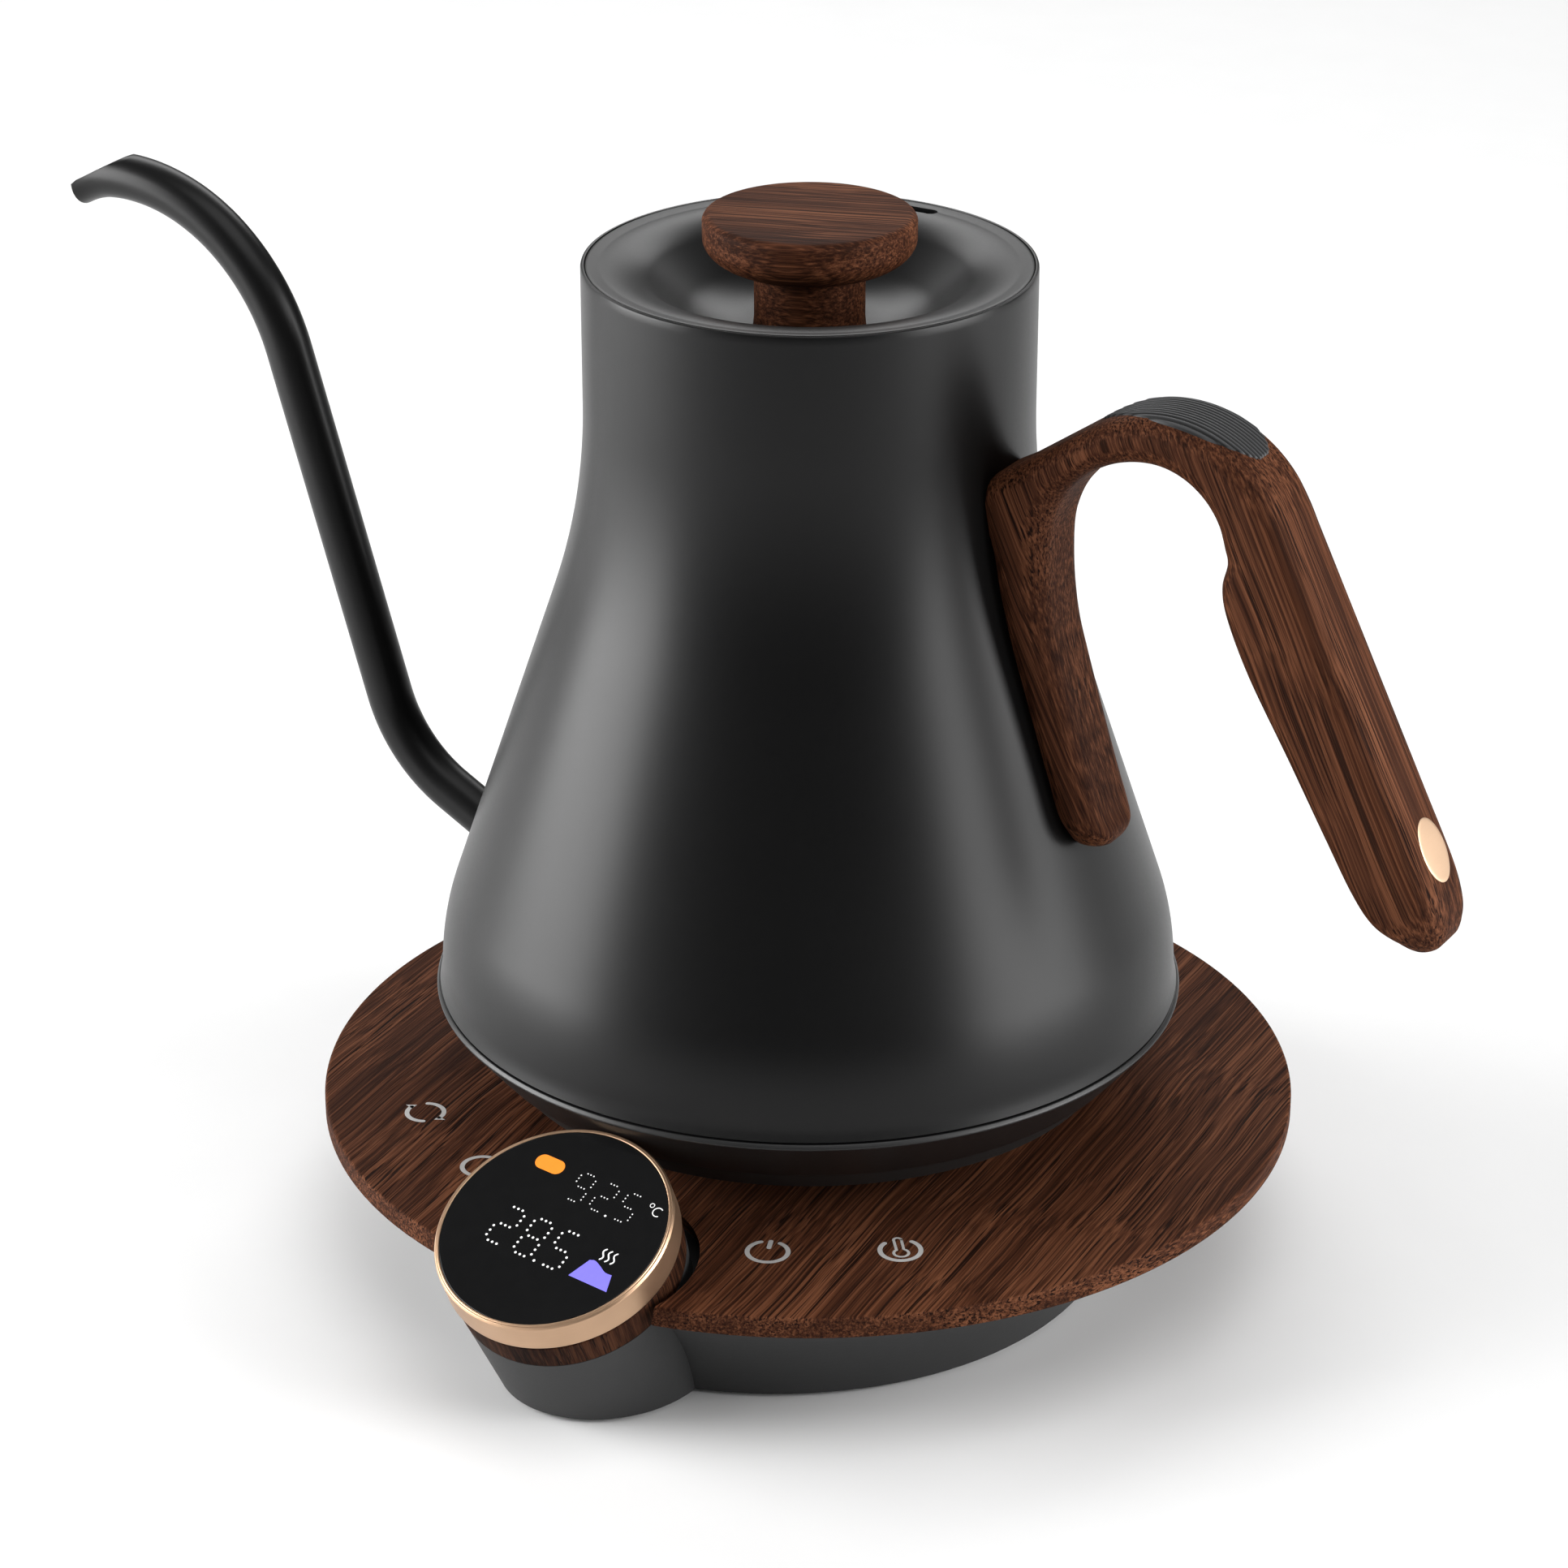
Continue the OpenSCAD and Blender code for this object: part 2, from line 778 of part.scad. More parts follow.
feet();
base_bottom_cover();
base_screws();
base_housing();
base_plate();
touch_icons();
touch_boards();
touch_springs();
base_connector();
base_contacts();
cord_inlet();
control_board();
relay();
transformer();
capacitor();
buzzer();
terminal_block();
encoder_board();
dial_switch();
dial_wood_ring();
dial_ring();
encoder_wheel();
dial_glass();
display_module();
dial_carrier();
switch_plunger();
kettle_body();
neck_ring();
kettle_skirt();
kettle_bottom();
bottom_screws();
kettle_socket();
kettle_contacts();
boil_plate();
heat_plate();
heating_element();
thermal_cutouts();
temperature_probe();
spout();
handle_grip();
handle_bracket();
handle_screw();
thumb_pad();
handle_badge();
lid_shell();
lid_inner();
lid_gasket();
lid_knob();
knob_screw();
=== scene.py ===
"""Looks of a gooseneck electric kettle on its wooden touch base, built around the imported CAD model.

Lengths in this script are millimetres, turned into metres by the mesh helpers. The kettle's axis is Z,
its spout points to -X, its handle to +X and its dial to -Y.
"""

import json
import math

import bmesh
import bpy
from mathutils import Matrix, Vector


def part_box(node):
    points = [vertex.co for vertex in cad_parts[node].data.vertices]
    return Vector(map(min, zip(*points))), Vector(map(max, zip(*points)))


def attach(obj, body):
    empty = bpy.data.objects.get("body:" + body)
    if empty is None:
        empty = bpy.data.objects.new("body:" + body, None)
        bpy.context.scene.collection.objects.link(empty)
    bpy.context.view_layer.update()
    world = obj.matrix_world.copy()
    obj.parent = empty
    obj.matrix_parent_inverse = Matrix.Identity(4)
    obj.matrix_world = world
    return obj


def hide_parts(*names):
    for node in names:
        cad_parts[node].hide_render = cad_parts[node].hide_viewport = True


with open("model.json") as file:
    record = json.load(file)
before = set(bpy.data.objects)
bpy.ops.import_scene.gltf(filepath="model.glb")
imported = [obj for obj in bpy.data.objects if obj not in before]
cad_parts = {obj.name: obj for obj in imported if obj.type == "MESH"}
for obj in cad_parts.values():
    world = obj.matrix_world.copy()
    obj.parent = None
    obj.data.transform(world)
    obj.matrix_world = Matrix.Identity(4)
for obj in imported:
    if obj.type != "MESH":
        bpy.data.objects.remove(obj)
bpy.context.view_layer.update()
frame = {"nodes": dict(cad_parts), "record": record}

MM = 0.001


def top_of(node):
    """Height of a CAD node's top, in millimetres."""
    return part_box(node)[1].z / MM


def bottom_of(node):
    """Height of a CAD node's underside, in millimetres."""
    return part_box(node)[0].z / MM


def radius_of(node):
    """Radius of a CAD node that is round about the kettle's axis, in millimetres."""
    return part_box(node)[1].x / MM


# ---------- dimensions, from the frame where it has them ----------

RIM_Z = top_of("kettle_body")
SEAM_Z = bottom_of("kettle_body")
NECK_R = 43.9
WALL = 1.2
CONE_ANGLE = math.radians(18.6)
BODY_R = 74.4
LOW_Z, LOW_ARC = 57.0, 55.0
NECK_Z, NECK_ARC = 177.0, 124.0

PLATE_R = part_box("base_plate")[1].y / MM
PLATE_TOP = top_of("base_plate")
PLATE_FOOT = bottom_of("base_plate")

DIAL_TILT = math.radians(25.8)
DIAL_CENTRE = Vector((0.0, -94.3, 39.6))
DIAL_MATRIX = Matrix.Translation(DIAL_CENTRE) @ Matrix.Rotation(DIAL_TILT, 4, "X")
DIAL_AXIS = (0.0, -math.sin(DIAL_TILT), math.cos(DIAL_TILT))

HANDLE_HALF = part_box("handle_grip")[1].y / MM
ARCH = (80.0, 163.4)
ARCH_R = 27.2
GRIP_LEAN = math.radians(26.7)
GRAIN_GRIP = (math.sin(GRIP_LEAN), 0.0, -math.cos(GRIP_LEAN))


# ---------- outlines ----------


def arc(centre, radius, start, end, steps):
    """Points round an arc, angles in degrees."""
    turn = [math.radians(start + (end - start) * i / steps) for i in range(steps + 1)]
    return [(centre[0] + radius * math.cos(a), centre[1] + radius * math.sin(a)) for a in turn]


def rounded(corners, steps=6, closed=True):
    """An outline from corners (x, y, radius), each rounded, with support points beside each round."""
    support = 0.25
    count = len(corners)
    out = []
    for i, (x, y, radius) in enumerate(corners):
        here = Vector((x, y))
        if radius <= 0 or (not closed and i in (0, count - 1)):
            out.append((x, y))
            continue
        before = Vector(corners[i - 1][:2]) - here
        after = Vector(corners[(i + 1) % count][:2]) - here
        half = before.angle(after) / 2
        reach = min(radius / math.tan(half), 0.45 * before.length, 0.45 * after.length)
        radius = reach * math.tan(half)
        middle = (before.normalized() + after.normalized()).normalized()
        centre = here + middle * (radius / math.sin(half))
        first = here + before.normalized() * reach - centre
        sweep = math.pi - 2 * half
        sign = 1 if first.x * (here - centre).y - first.y * (here - centre).x > 0 else -1
        out.append(tuple(centre + first + before.normalized() * min(support, 0.1 * before.length)))
        for k in range(steps + 1):
            turned = Matrix.Rotation(sign * sweep * k / steps, 2) @ first
            out.append(tuple(centre + turned))
        last = here + after.normalized() * reach
        out.append(tuple(last + after.normalized() * min(support, 0.1 * after.length)))
    return out


def body_radius(z):
    """Outer radius of the kettle's body at a height."""
    if z < LOW_Z:
        return BODY_R + 0.6 * (LOW_Z - z) / (LOW_Z - SEAM_Z)
    low_end = LOW_Z + LOW_ARC * math.sin(CONE_ANGLE)
    neck_end = NECK_Z - NECK_ARC * math.sin(CONE_ANGLE)
    if z < low_end:
        return BODY_R - LOW_ARC + math.sqrt(LOW_ARC**2 - (z - LOW_Z) ** 2)
    if z < neck_end:
        foot = BODY_R - LOW_ARC + LOW_ARC * math.cos(CONE_ANGLE)
        return foot - (z - low_end) * math.tan(CONE_ANGLE)
    if z < NECK_Z:
        return NECK_R + NECK_ARC - math.sqrt(NECK_ARC**2 - (NECK_Z - z) ** 2)
    return NECK_R


# ---------- meshes ----------


def new_object(name, verts, faces, matrix=None):
    """A smooth-shaded mesh object from points in millimetres."""
    mesh = bpy.data.meshes.new(name)
    mesh.from_pydata([Vector(v) * MM for v in verts], [], faces)
    if matrix:
        mesh.transform(Matrix.Translation(matrix.translation * MM) @ matrix.to_3x3().to_4x4())
    bm = bmesh.new()
    bm.from_mesh(mesh)
    bmesh.ops.remove_doubles(bm, verts=bm.verts, dist=1e-7)
    bmesh.ops.recalc_face_normals(bm, faces=bm.faces)
    bm.to_mesh(mesh)
    bm.free()
    obj = bpy.data.objects.new(name, mesh)
    bpy.context.scene.collection.objects.link(obj)
    smooth(obj)
    return obj


def smooth(obj, angle=35):
    obj.data.shade_smooth()
    obj.data.set_sharp_from_angle(angle=math.radians(angle))


def revolve(name, outline, matrix=None, segments=192, closed=True):
    """Turns an outline of (radius, height) about an upright axis."""
    verts, faces = [], []
    rows = len(outline)
    for k in range(segments):
        turn = 2 * math.pi * k / segments
        c, s = math.cos(turn), math.sin(turn)
        verts += [(r * c, r * s, z) for r, z in outline]
    for k in range(segments):
        a, b = k * rows, (k + 1) % segments * rows
        for i in range(rows if closed else rows - 1):
            j = (i + 1) % rows
            if outline[i][0] > 0 or outline[j][0] > 0:
                faces.append((a + i, b + i, b + j, a + j))
    return new_object(name, verts, faces, matrix)


def loft(name, rings):
    """Joins closed rings of points, with a fan over each end."""
    size = len(rings[0])
    verts = [p for ring in rings for p in ring]
    faces = []
    for i in range(len(rings) - 1):
        for k in range(size):
            a, b = i * size + k, i * size + (k + 1) % size
            faces.append((a, b, b + size, a + size))
    for ring, start in ((rings[0], 0), (rings[-1], (len(rings) - 1) * size)):
        middle = sum((Vector(p) for p in ring), Vector((0, 0, 0))) / size
        verts.append(tuple(middle))
        faces += [(start + k, start + (k + 1) % size, len(verts) - 1) for k in range(size)]
    return new_object(name, verts, faces)


def closed_rings(name, rings):
    """Joins rings of points into a closed skin: each ring to the next, and the last to the first."""
    size = len(rings[0])
    verts = [tuple(p) for ring in rings for p in ring]
    faces = []
    for i in range(len(rings)):
        following = (i + 1) % len(rings) * size
        for k in range(size):
            after = (k + 1) % size
            faces.append((i * size + k, i * size + after, following + after, following + k))
    return new_object(name, verts, faces)


def slab(name, outline, z0, z1, matrix=None):
    """A flat plate with the given outline."""
    count = len(outline)
    verts = [(x, y, z0) for x, y in outline] + [(x, y, z1) for x, y in outline]
    faces = [tuple(range(count)), tuple(range(2 * count - 1, count - 1, -1))]
    faces += [(k, (k + 1) % count, count + (k + 1) % count, count + k) for k in range(count)]
    return new_object(name, verts, faces, matrix)


def apply_modifiers(obj):
    """Bakes an object's modifiers into its mesh."""
    bpy.context.view_layer.update()
    source = obj.evaluated_get(bpy.context.evaluated_depsgraph_get())
    mesh = bpy.data.meshes.new_from_object(source)
    obj.modifiers.clear()
    obj.data = mesh


def cut(obj, *tools):
    """Takes closed tools away from an object, and deletes them."""
    for tool in tools:
        modifier = obj.modifiers.new("cut", "BOOLEAN")
        modifier.operation = "DIFFERENCE"
        modifier.solver = "EXACT"
        modifier.object = tool
    apply_modifiers(obj)
    for tool in tools:
        bpy.data.objects.remove(tool)
    smooth(obj)
    return obj


def join(name, pieces):
    """One mesh object from several."""
    bm = bmesh.new()
    for piece in pieces:
        bm.from_mesh(piece.data)
        bpy.data.objects.remove(piece)
    mesh = bpy.data.meshes.new(name)
    bm.to_mesh(mesh)
    bm.free()
    obj = bpy.data.objects.new(name, mesh)
    bpy.context.scene.collection.objects.link(obj)
    smooth(obj)
    return obj


def stroke(points, width, steps=6):
    """Outline of a line of constant width with round ends, drawn along points in a plane."""
    half = width / 2
    points = [Vector(p) for p in points]
    sides = []
    for i, p in enumerate(points):
        along = (points[min(i + 1, len(points) - 1)] - points[max(i - 1, 0)]).normalized()
        across = Vector((-along.y, along.x)) * half
        sides.append((p + across, p - across))
    heading = points[-1] - points[-2]
    end = math.degrees(math.atan2(heading.y, heading.x))
    heading = points[0] - points[1]
    start = math.degrees(math.atan2(heading.y, heading.x))
    outline = [tuple(a) for a, _ in sides[:-1]]
    outline += arc(points[-1], half, end + 90, end - 90, steps)
    outline += [tuple(b) for _, b in reversed(sides[1:-1])]
    outline += arc(points[0], half, start + 90, start - 90, steps)
    return outline


# ---------- materials ----------


class Shader:
    """Small helper that builds a material's nodes."""

    def __init__(self, name):
        self.material = bpy.data.materials.new(name)
        self.material.use_nodes = True
        self.nodes = self.material.node_tree.nodes
        self.links = self.material.node_tree.links
        self.surface = self.nodes["Principled BSDF"]

    def add(self, kind, settings=None, **inputs):
        node = self.nodes.new("ShaderNode" + kind)
        for key, value in (settings or {}).items():
            setattr(node, key, value)
        for key, value in inputs.items():
            self.put(node, key.replace("_", " "), value)
        return node

    def put(self, node, key, value):
        socket = node.inputs[int(key) if key.isdigit() else key]
        if isinstance(value, bpy.types.NodeSocket):
            self.links.new(value, socket)
        else:
            socket.default_value = value

    def set(self, **inputs):
        for key, value in inputs.items():
            self.put(self.surface, key.replace("_", " "), value)

    def place(self, scale, direction=(1.0, 0.0, 0.0)):
        """Object coordinates in metres, turned so that X runs along direction, then scaled."""
        turn = Vector(direction).to_track_quat("X", "Z").inverted().to_euler()
        coords = self.add("TexCoord").outputs["Object"]
        turned = self.add("Mapping", {"vector_type": "POINT"}, Vector=coords, Rotation=turn)
        return self.add("Mapping", Vector=turned.outputs[0], Scale=scale).outputs[0]

    def noise(self, vector, scale=1.0, detail=3.0, roughness=0.55):
        node = self.add("TexNoise", Vector=vector, Scale=scale, Detail=detail, Roughness=roughness)
        return node.outputs["Fac"]

    def ramp(self, value, *stops):
        """Colour or grey ramp from (position, colour) stops."""
        node = self.add("ValToRGB", Fac=value)
        elements = node.color_ramp.elements
        while len(elements) < len(stops):
            elements.new(0.5)
        for element, (position, colour) in zip(elements, stops):
            element.position = position
            element.color = (*colour, 1.0) if isinstance(colour, tuple) else (colour, colour, colour, 1.0)
        return node.outputs["Color"]

    def span(self, value, low, high):
        """Maps 0..1 to low..high."""
        return self.add("MapRange", Value=value, To_Min=low, To_Max=high).outputs[0]

    def mix(self, factor, a, b):
        node = self.add("Mix", {"data_type": "RGBA", "blend_type": "MIX"})
        for index, value in ((0, factor), (6, a), (7, b)):
            if isinstance(value, bpy.types.NodeSocket):
                self.links.new(value, node.inputs[index])
            else:
                node.inputs[index].default_value = value if index == 0 else (*value, 1.0)
        return node.outputs[2]

    def operate(self, kind, operation, a, b):
        node = self.add(kind, {"operation": operation})
        self.put(node, "0", a)
        self.put(node, "1", b)
        return node.outputs[0]

    def math(self, operation, a, b):
        return self.operate("Math", operation, a, b)

    def vector_math(self, operation, a, b):
        return self.operate("VectorMath", operation, a, b)

    def bump(self, height, distance_mm):
        node = self.add("Bump", Height=height, Strength=1.0, Distance=distance_mm * MM)
        self.set(Normal=node.outputs[0])


def plain_finish(
    name, colour, roughness, metallic=0.0, grain=900.0, depth=0.02, variation=0.12, **extra
):
    """Moulded, cast or painted finish: fine speckle in colour, gloss and surface."""
    shader = Shader(name)
    vector = shader.place((1.0, 1.0, 1.0))
    fine = shader.noise(vector, grain, 4.0)
    broad = shader.noise(vector, 25.0, 2.0)
    mixed = shader.math("ADD", shader.math("MULTIPLY", fine, 0.6), shader.math("MULTIPLY", broad, 0.4))
    low = tuple(c * (1 - variation) for c in colour)
    high = tuple(c * (1 + variation) for c in colour)
    shader.set(Base_Color=shader.ramp(mixed, (0.3, low), (0.7, high)), Metallic=metallic)
    shader.set(Roughness=shader.span(mixed, roughness - 0.05, roughness + 0.05), **extra)
    shader.bump(fine, depth)
    return shader.material


def brushed_metal(name, colour, roughness, direction=(0.0, 0.0, 1.0)):
    """Metal with fine drawn lines across direction."""
    shader = Shader(name)
    lines = shader.noise(shader.place((4000.0, 60.0, 60.0), direction), 1.0, 3.0)
    soft = shader.noise(shader.place((60.0, 60.0, 60.0)), 1.0, 2.0)
    low, high = tuple(c * 0.9 for c in colour), tuple(min(c * 1.06, 1.0) for c in colour)
    shader.set(Base_Color=shader.ramp(soft, (0.3, low), (0.7, high)), Metallic=1.0)
    shader.set(Roughness=shader.span(lines, roughness - 0.06, roughness + 0.08))
    shader.bump(lines, 0.006)
    return shader.material


def walnut(name, direction, tone=1.0, relief=0.09, offset=0.0):
    """Dark oiled walnut: growth bands, fibres and open pores drawn out along direction."""
    shader = Shader(name)
    base = shader.place((1.0, 1.0, 1.0), direction)
    shifted = shader.vector_math("ADD", base, (offset, offset * 0.7, offset * 1.3))
    wander = shader.add("TexNoise", Vector=shifted, Scale=14.0, Detail=2.0)
    drift = shader.vector_math("MULTIPLY", wander.outputs["Color"], (0.0, 0.005, 0.005))
    warped = shader.vector_math("ADD", shifted, drift)

    def drawn(scale):
        return shader.add("Mapping", Vector=warped, Scale=scale).outputs[0]

    bands = shader.noise(drawn((3.5, 110.0, 110.0)), 1.0, 2.0)
    streaks = shader.noise(drawn((8.0, 1700.0, 1700.0)), 1.0, 3.0, 0.6)
    fibres = shader.noise(drawn((26.0, 3800.0, 3800.0)), 1.0, 2.0, 0.6)
    pores = shader.noise(drawn((20.0, 2300.0, 2300.0)), 1.0, 1.0, 0.5)
    dark = tuple(c * tone for c in (0.026, 0.0085, 0.0038))
    middle = tuple(c * tone for c in (0.078, 0.0262, 0.0118))
    light = tuple(c * tone for c in (0.185, 0.069, 0.032))
    banded = shader.math("MULTIPLY", bands, 0.3)
    streaked = shader.math("MULTIPLY", streaks, 0.5)
    mixed = shader.math("ADD", banded, streaked)
    mixed = shader.math("ADD", mixed, shader.math("MULTIPLY", fibres, 0.2))
    colour = shader.ramp(mixed, (0.415, dark), (0.5, middle), (0.6, light))
    pore_mask = shader.ramp(pores, (0.575, 0.0), (0.63, 1.0))
    gate = shader.ramp(bands, (0.4, 0.1), (0.56, 0.9))
    pore_mask = shader.math("MULTIPLY", pore_mask, gate)
    colour = shader.mix(pore_mask, colour, tuple(c * 0.3 for c in dark))
    height = shader.math("SUBTRACT", shader.math("MULTIPLY", streaks, 0.7), pore_mask)
    height = shader.math("ADD", height, shader.math("MULTIPLY", fibres, 0.4))
    shader.set(Base_Color=colour, Roughness=shader.span(mixed, 0.75, 0.6), Specular_IOR_Level=0.06)
    shader.bump(height, relief)
    return shader.material


def ribbed_silicone(name, ribs, width):
    """Black silicone with a painted highlight along the crest of each rib and painted shade in the grooves
    between; the ribs share out the width across Y.
    """
    shader = Shader(name)
    coords = shader.add("TexCoord").outputs["Object"]
    across = shader.add("SeparateXYZ", Vector=coords).outputs["Y"]
    wave = shader.math("SINE", shader.math("MULTIPLY", across, math.pi * ribs / (width * MM)), 0.0)
    painted_crest_light = shader.math("ABSOLUTE", wave, 0.0)
    fine = shader.noise(shader.place((1.0, 1.0, 1.0)), 1600.0, 3.0)
    painted_crest_light = shader.math("ADD", painted_crest_light, shader.math("MULTIPLY", shader.math("SUBTRACT", fine, 0.5), 0.04))
    # painted light: the ramp turns the rib crests pale as a painted highlight and the grooves near black as
    # painted shade
    colour = shader.ramp(painted_crest_light, (0.6, (0.0025, 0.0026, 0.0028)), (1.0, (0.045, 0.046, 0.048)))
    shader.set(Base_Color=colour, Roughness=shader.span(fine, 0.45, 0.55), Specular_IOR_Level=0.4)
    shader.bump(fine, 0.01)
    return shader.material


def lit(name, colour, strength):
    """Lit part of the display, with a faint unevenness."""
    shader = Shader(name)
    fine = shader.noise(shader.place((1.0, 1.0, 1.0)), 900.0, 2.0)
    low = tuple(c * 0.94 for c in colour)
    shader.set(Base_Color=(*(c * 0.3 for c in colour), 1.0), Roughness=0.4)
    shader.set(Emission_Color=shader.ramp(fine, (0.3, low), (0.7, colour)), Emission_Strength=strength)
    return shader.material


POWDER = plain_finish(
    "powder_coat_black", (0.0022, 0.0022, 0.0023), 0.36,
    grain=1500.0, depth=0.005, Specular_IOR_Level=0.26,
)
BASE_PLASTIC = plain_finish(
    "base_plastic_grey", (0.013, 0.013, 0.0133), 0.55, grain=1300.0, depth=0.015
)
SKIRT_PLASTIC = plain_finish(
    "skirt_plastic_black", (0.005, 0.005, 0.0052), 0.42, grain=1100.0, depth=0.01
)
BLACK_PLASTIC = plain_finish("moulded_black", (0.01, 0.01, 0.01), 0.5)
PAD_RUBBER = ribbed_silicone("pad_silicone", 15, 15.6)
GLASS = plain_finish(
    "display_black_glass", (0.0052, 0.0052, 0.0054), 0.16,
    grain=300.0, depth=0.0005, Specular_IOR_Level=0.2,
)
ICON_INK = plain_finish("icon_ink", (0.42, 0.41, 0.4), 0.5, grain=1200.0, depth=0.01, variation=0.08)
GOLD = brushed_metal("rose_gold_satin", (0.58, 0.38, 0.245), 0.38, DIAL_AXIS)
GOLD_BADGE = brushed_metal("rose_gold_badge", (0.62, 0.43, 0.29), 0.45, GRAIN_GRIP)
STAINLESS = brushed_metal("stainless_brushed", (0.58, 0.58, 0.57), 0.28)
PLATE_WOOD = walnut("walnut_plate", (-0.08, 1.0, 0.0), tone=0.8, relief=0.22)
HANDLE_WOOD = walnut("walnut_handle", GRAIN_GRIP, tone=0.78, relief=0.11, offset=0.37)
KNOB_WOOD = walnut("walnut_knob", (1.0, 0.35, 0.0), tone=0.9, relief=0.1, offset=0.71)
TOWER_WOOD = walnut("walnut_tower_ring", DIAL_AXIS, tone=0.34, relief=0.1, offset=1.13)

SLOT_FINISH = {
    "powder_coat": POWDER,
    "walnut": PLATE_WOOD,
    "rose_gold": GOLD,
    "display_glass": GLASS,
    "icon_print": ICON_INK,
    "base_plastic": BASE_PLASTIC,
    "skirt_plastic": SKIRT_PLASTIC,
    "black_plastic": BLACK_PLASTIC,
    "white_plastic": plain_finish("moulded_white", (0.72, 0.71, 0.68), 0.45),
    "component_plastic": plain_finish("component_case", (0.03, 0.045, 0.08), 0.4),
    "circuit_board": plain_finish(
        "board_resist", (0.01, 0.09, 0.035), 0.35, grain=500.0, variation=0.3
    ),
    "silicone": plain_finish("silicone_grey", (0.05, 0.05, 0.05), 0.6),
    "clear_silicone": plain_finish("silicone_clear", (0.75, 0.75, 0.73), 0.35, Transmission_Weight=0.6),
    "stainless": STAINLESS,
    "screw_steel": brushed_metal("screw_steel_zinc", (0.52, 0.53, 0.55), 0.32),
    "cast_aluminium": plain_finish(
        "aluminium_cast", (0.62, 0.63, 0.64), 0.42, metallic=1.0, grain=700.0
    ),
    "contact_brass": brushed_metal("contact_brass_drawn", (0.75, 0.56, 0.28), 0.25),
}


def dress_cad_nodes():
    """Every CAD node takes the procedural finish of its slot in the record."""
    for entry in frame["record"]["subparts"]:
        mesh = frame["nodes"][entry["node"]].data
        mesh.materials.clear()
        mesh.materials.append(SLOT_FINISH[entry["material_slot"]])


def finish_piece(obj, material, body, slot, *replaced):
    """Material, body and the CAD nodes that a piece stands for; the slot argument is not used."""
    obj.data.materials.clear()
    obj.data.materials.append(material)
    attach(obj, body)
    if replaced:
        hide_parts(*replaced)
    return obj


# ---------- kettle ----------


def body_side(inset, rows=110):
    """The body's side from the seam up, moved in by inset."""
    lift = RIM_Z - 0.5 - SEAM_Z
    heights = [SEAM_Z + lift * i / rows for i in range(rows + 1)]
    return [(body_radius(z) - inset, z) for z in heights]


SPOUT_R, SPOUT_WALL = 4.8, 0.9
HOLE_GAP, WELD_BITE = 0.3, 0.4
SPOUT_LEAN = 17.2
SPOUT_FOOT, SPOUT_TOP = Vector((-103.15, 92.0)), Vector((-125.6, 164.5))
LOW_BEND, LOW_TURN = 32.0, 62.0
MID_BEND, MID_TURN = 45.2, 50.0
END_BEND, END_TURN = 40.6, 105.6


def lean_dir(degrees):
    """Direction to the right of a path that leans to the left by an angle."""
    return Vector((math.cos(math.radians(degrees)), math.sin(math.radians(degrees))))


def path_dir(degrees):
    """Direction of a path that leans to -X by an angle from the vertical."""
    return Vector((-math.sin(math.radians(degrees)), math.cos(math.radians(degrees))))


def spout_start():
    """Where the low bend begins, close to the body: (x, z)."""
    low = SPOUT_FOOT + LOW_BEND * lean_dir(SPOUT_LEAN)
    return low - LOW_BEND * lean_dir(LOW_TURN)


def spout_stations():
    """(x, z, lean) along the spout's centre line, from inside the body to the mouth."""
    low = SPOUT_FOOT + LOW_BEND * lean_dir(SPOUT_LEAN)
    middle = SPOUT_TOP - MID_BEND * lean_dir(SPOUT_LEAN)
    end = middle + (MID_BEND - END_BEND) * lean_dir(MID_TURN)
    stations = []

    def bend(centre, radius, first, last, count):
        for i in range(count + 1):
            lean = first + (last - first) * i / count
            point = centre + radius * lean_dir(lean)
            stations.append((point.x, point.y, lean))

    start = spout_start()
    for reach in (18.0, 12.0, 6.0):
        point = start - reach * path_dir(LOW_TURN)
        stations.append((point.x, point.y, LOW_TURN))
    bend(low, -LOW_BEND, LOW_TURN, SPOUT_LEAN, 24)
    for i in range(1, 12):
        point = SPOUT_FOOT.lerp(SPOUT_TOP, i / 12)
        stations.append((point.x, point.y, SPOUT_LEAN))
    bend(middle, MID_BEND, SPOUT_LEAN, MID_TURN, 18)
    bend(end, END_BEND, MID_TURN + 2, END_TURN, 34)
    return stations


MOUTH_POINT = Vector((-163.3, 200.7))
MOUTH_SLOPE = math.radians(28.5)


def beyond_mouth(point):
    """How far a point lies beyond the oblique cut of the mouth."""
    normal = Vector((-math.sin(MOUTH_SLOPE), math.cos(MOUTH_SLOPE)))
    return (Vector((point[0], point[2])) - MOUTH_POINT).dot(normal)


def spout_wall_ring(stations, radius, sides):
    """Lines along the tube, one for each side, each ending on the mouth's cut plane."""
    lines = []
    for k in range(sides):
        turn = 2 * math.pi * k / sides
        line = []
        for x, z, lean in stations:
            out = radius * math.cos(turn)
            side = lean_dir(lean)
            point = Vector((x + out * side.x, radius * math.sin(turn), z + out * side.y))
            near_mouth = line and x < SPOUT_TOP.x - MID_BEND / 2
            if near_mouth and beyond_mouth(line[-1]) < 0 < beyond_mouth(point):
                before, after = beyond_mouth(line[-1]), beyond_mouth(point)
                line.append(line[-1].lerp(point, -before / (after - before)))
                break
            line.append(point)
        lines.append(line)
    return lines


def even_line(line, count):
    """A line resampled to a number of points at even shares of its length."""
    lengths = [0.0]
    for a, b in zip(line, line[1:]):
        lengths.append(lengths[-1] + (b - a).length)
    out, i = [], 0
    for k in range(count):
        want = lengths[-1] * k / (count - 1)
        while i < len(line) - 2 and lengths[i + 1] < want:
            i += 1
        share = (want - lengths[i]) / max(lengths[i + 1] - lengths[i], 1e-9)
        out.append(line[i].lerp(line[i + 1], min(share, 1.0)))
    return out


def flare(point, centre, amount):
    """Moves a point outwards from the tube's centre line."""
    away = point - centre
    return point + away.normalized() * amount if away.length > 0 else point


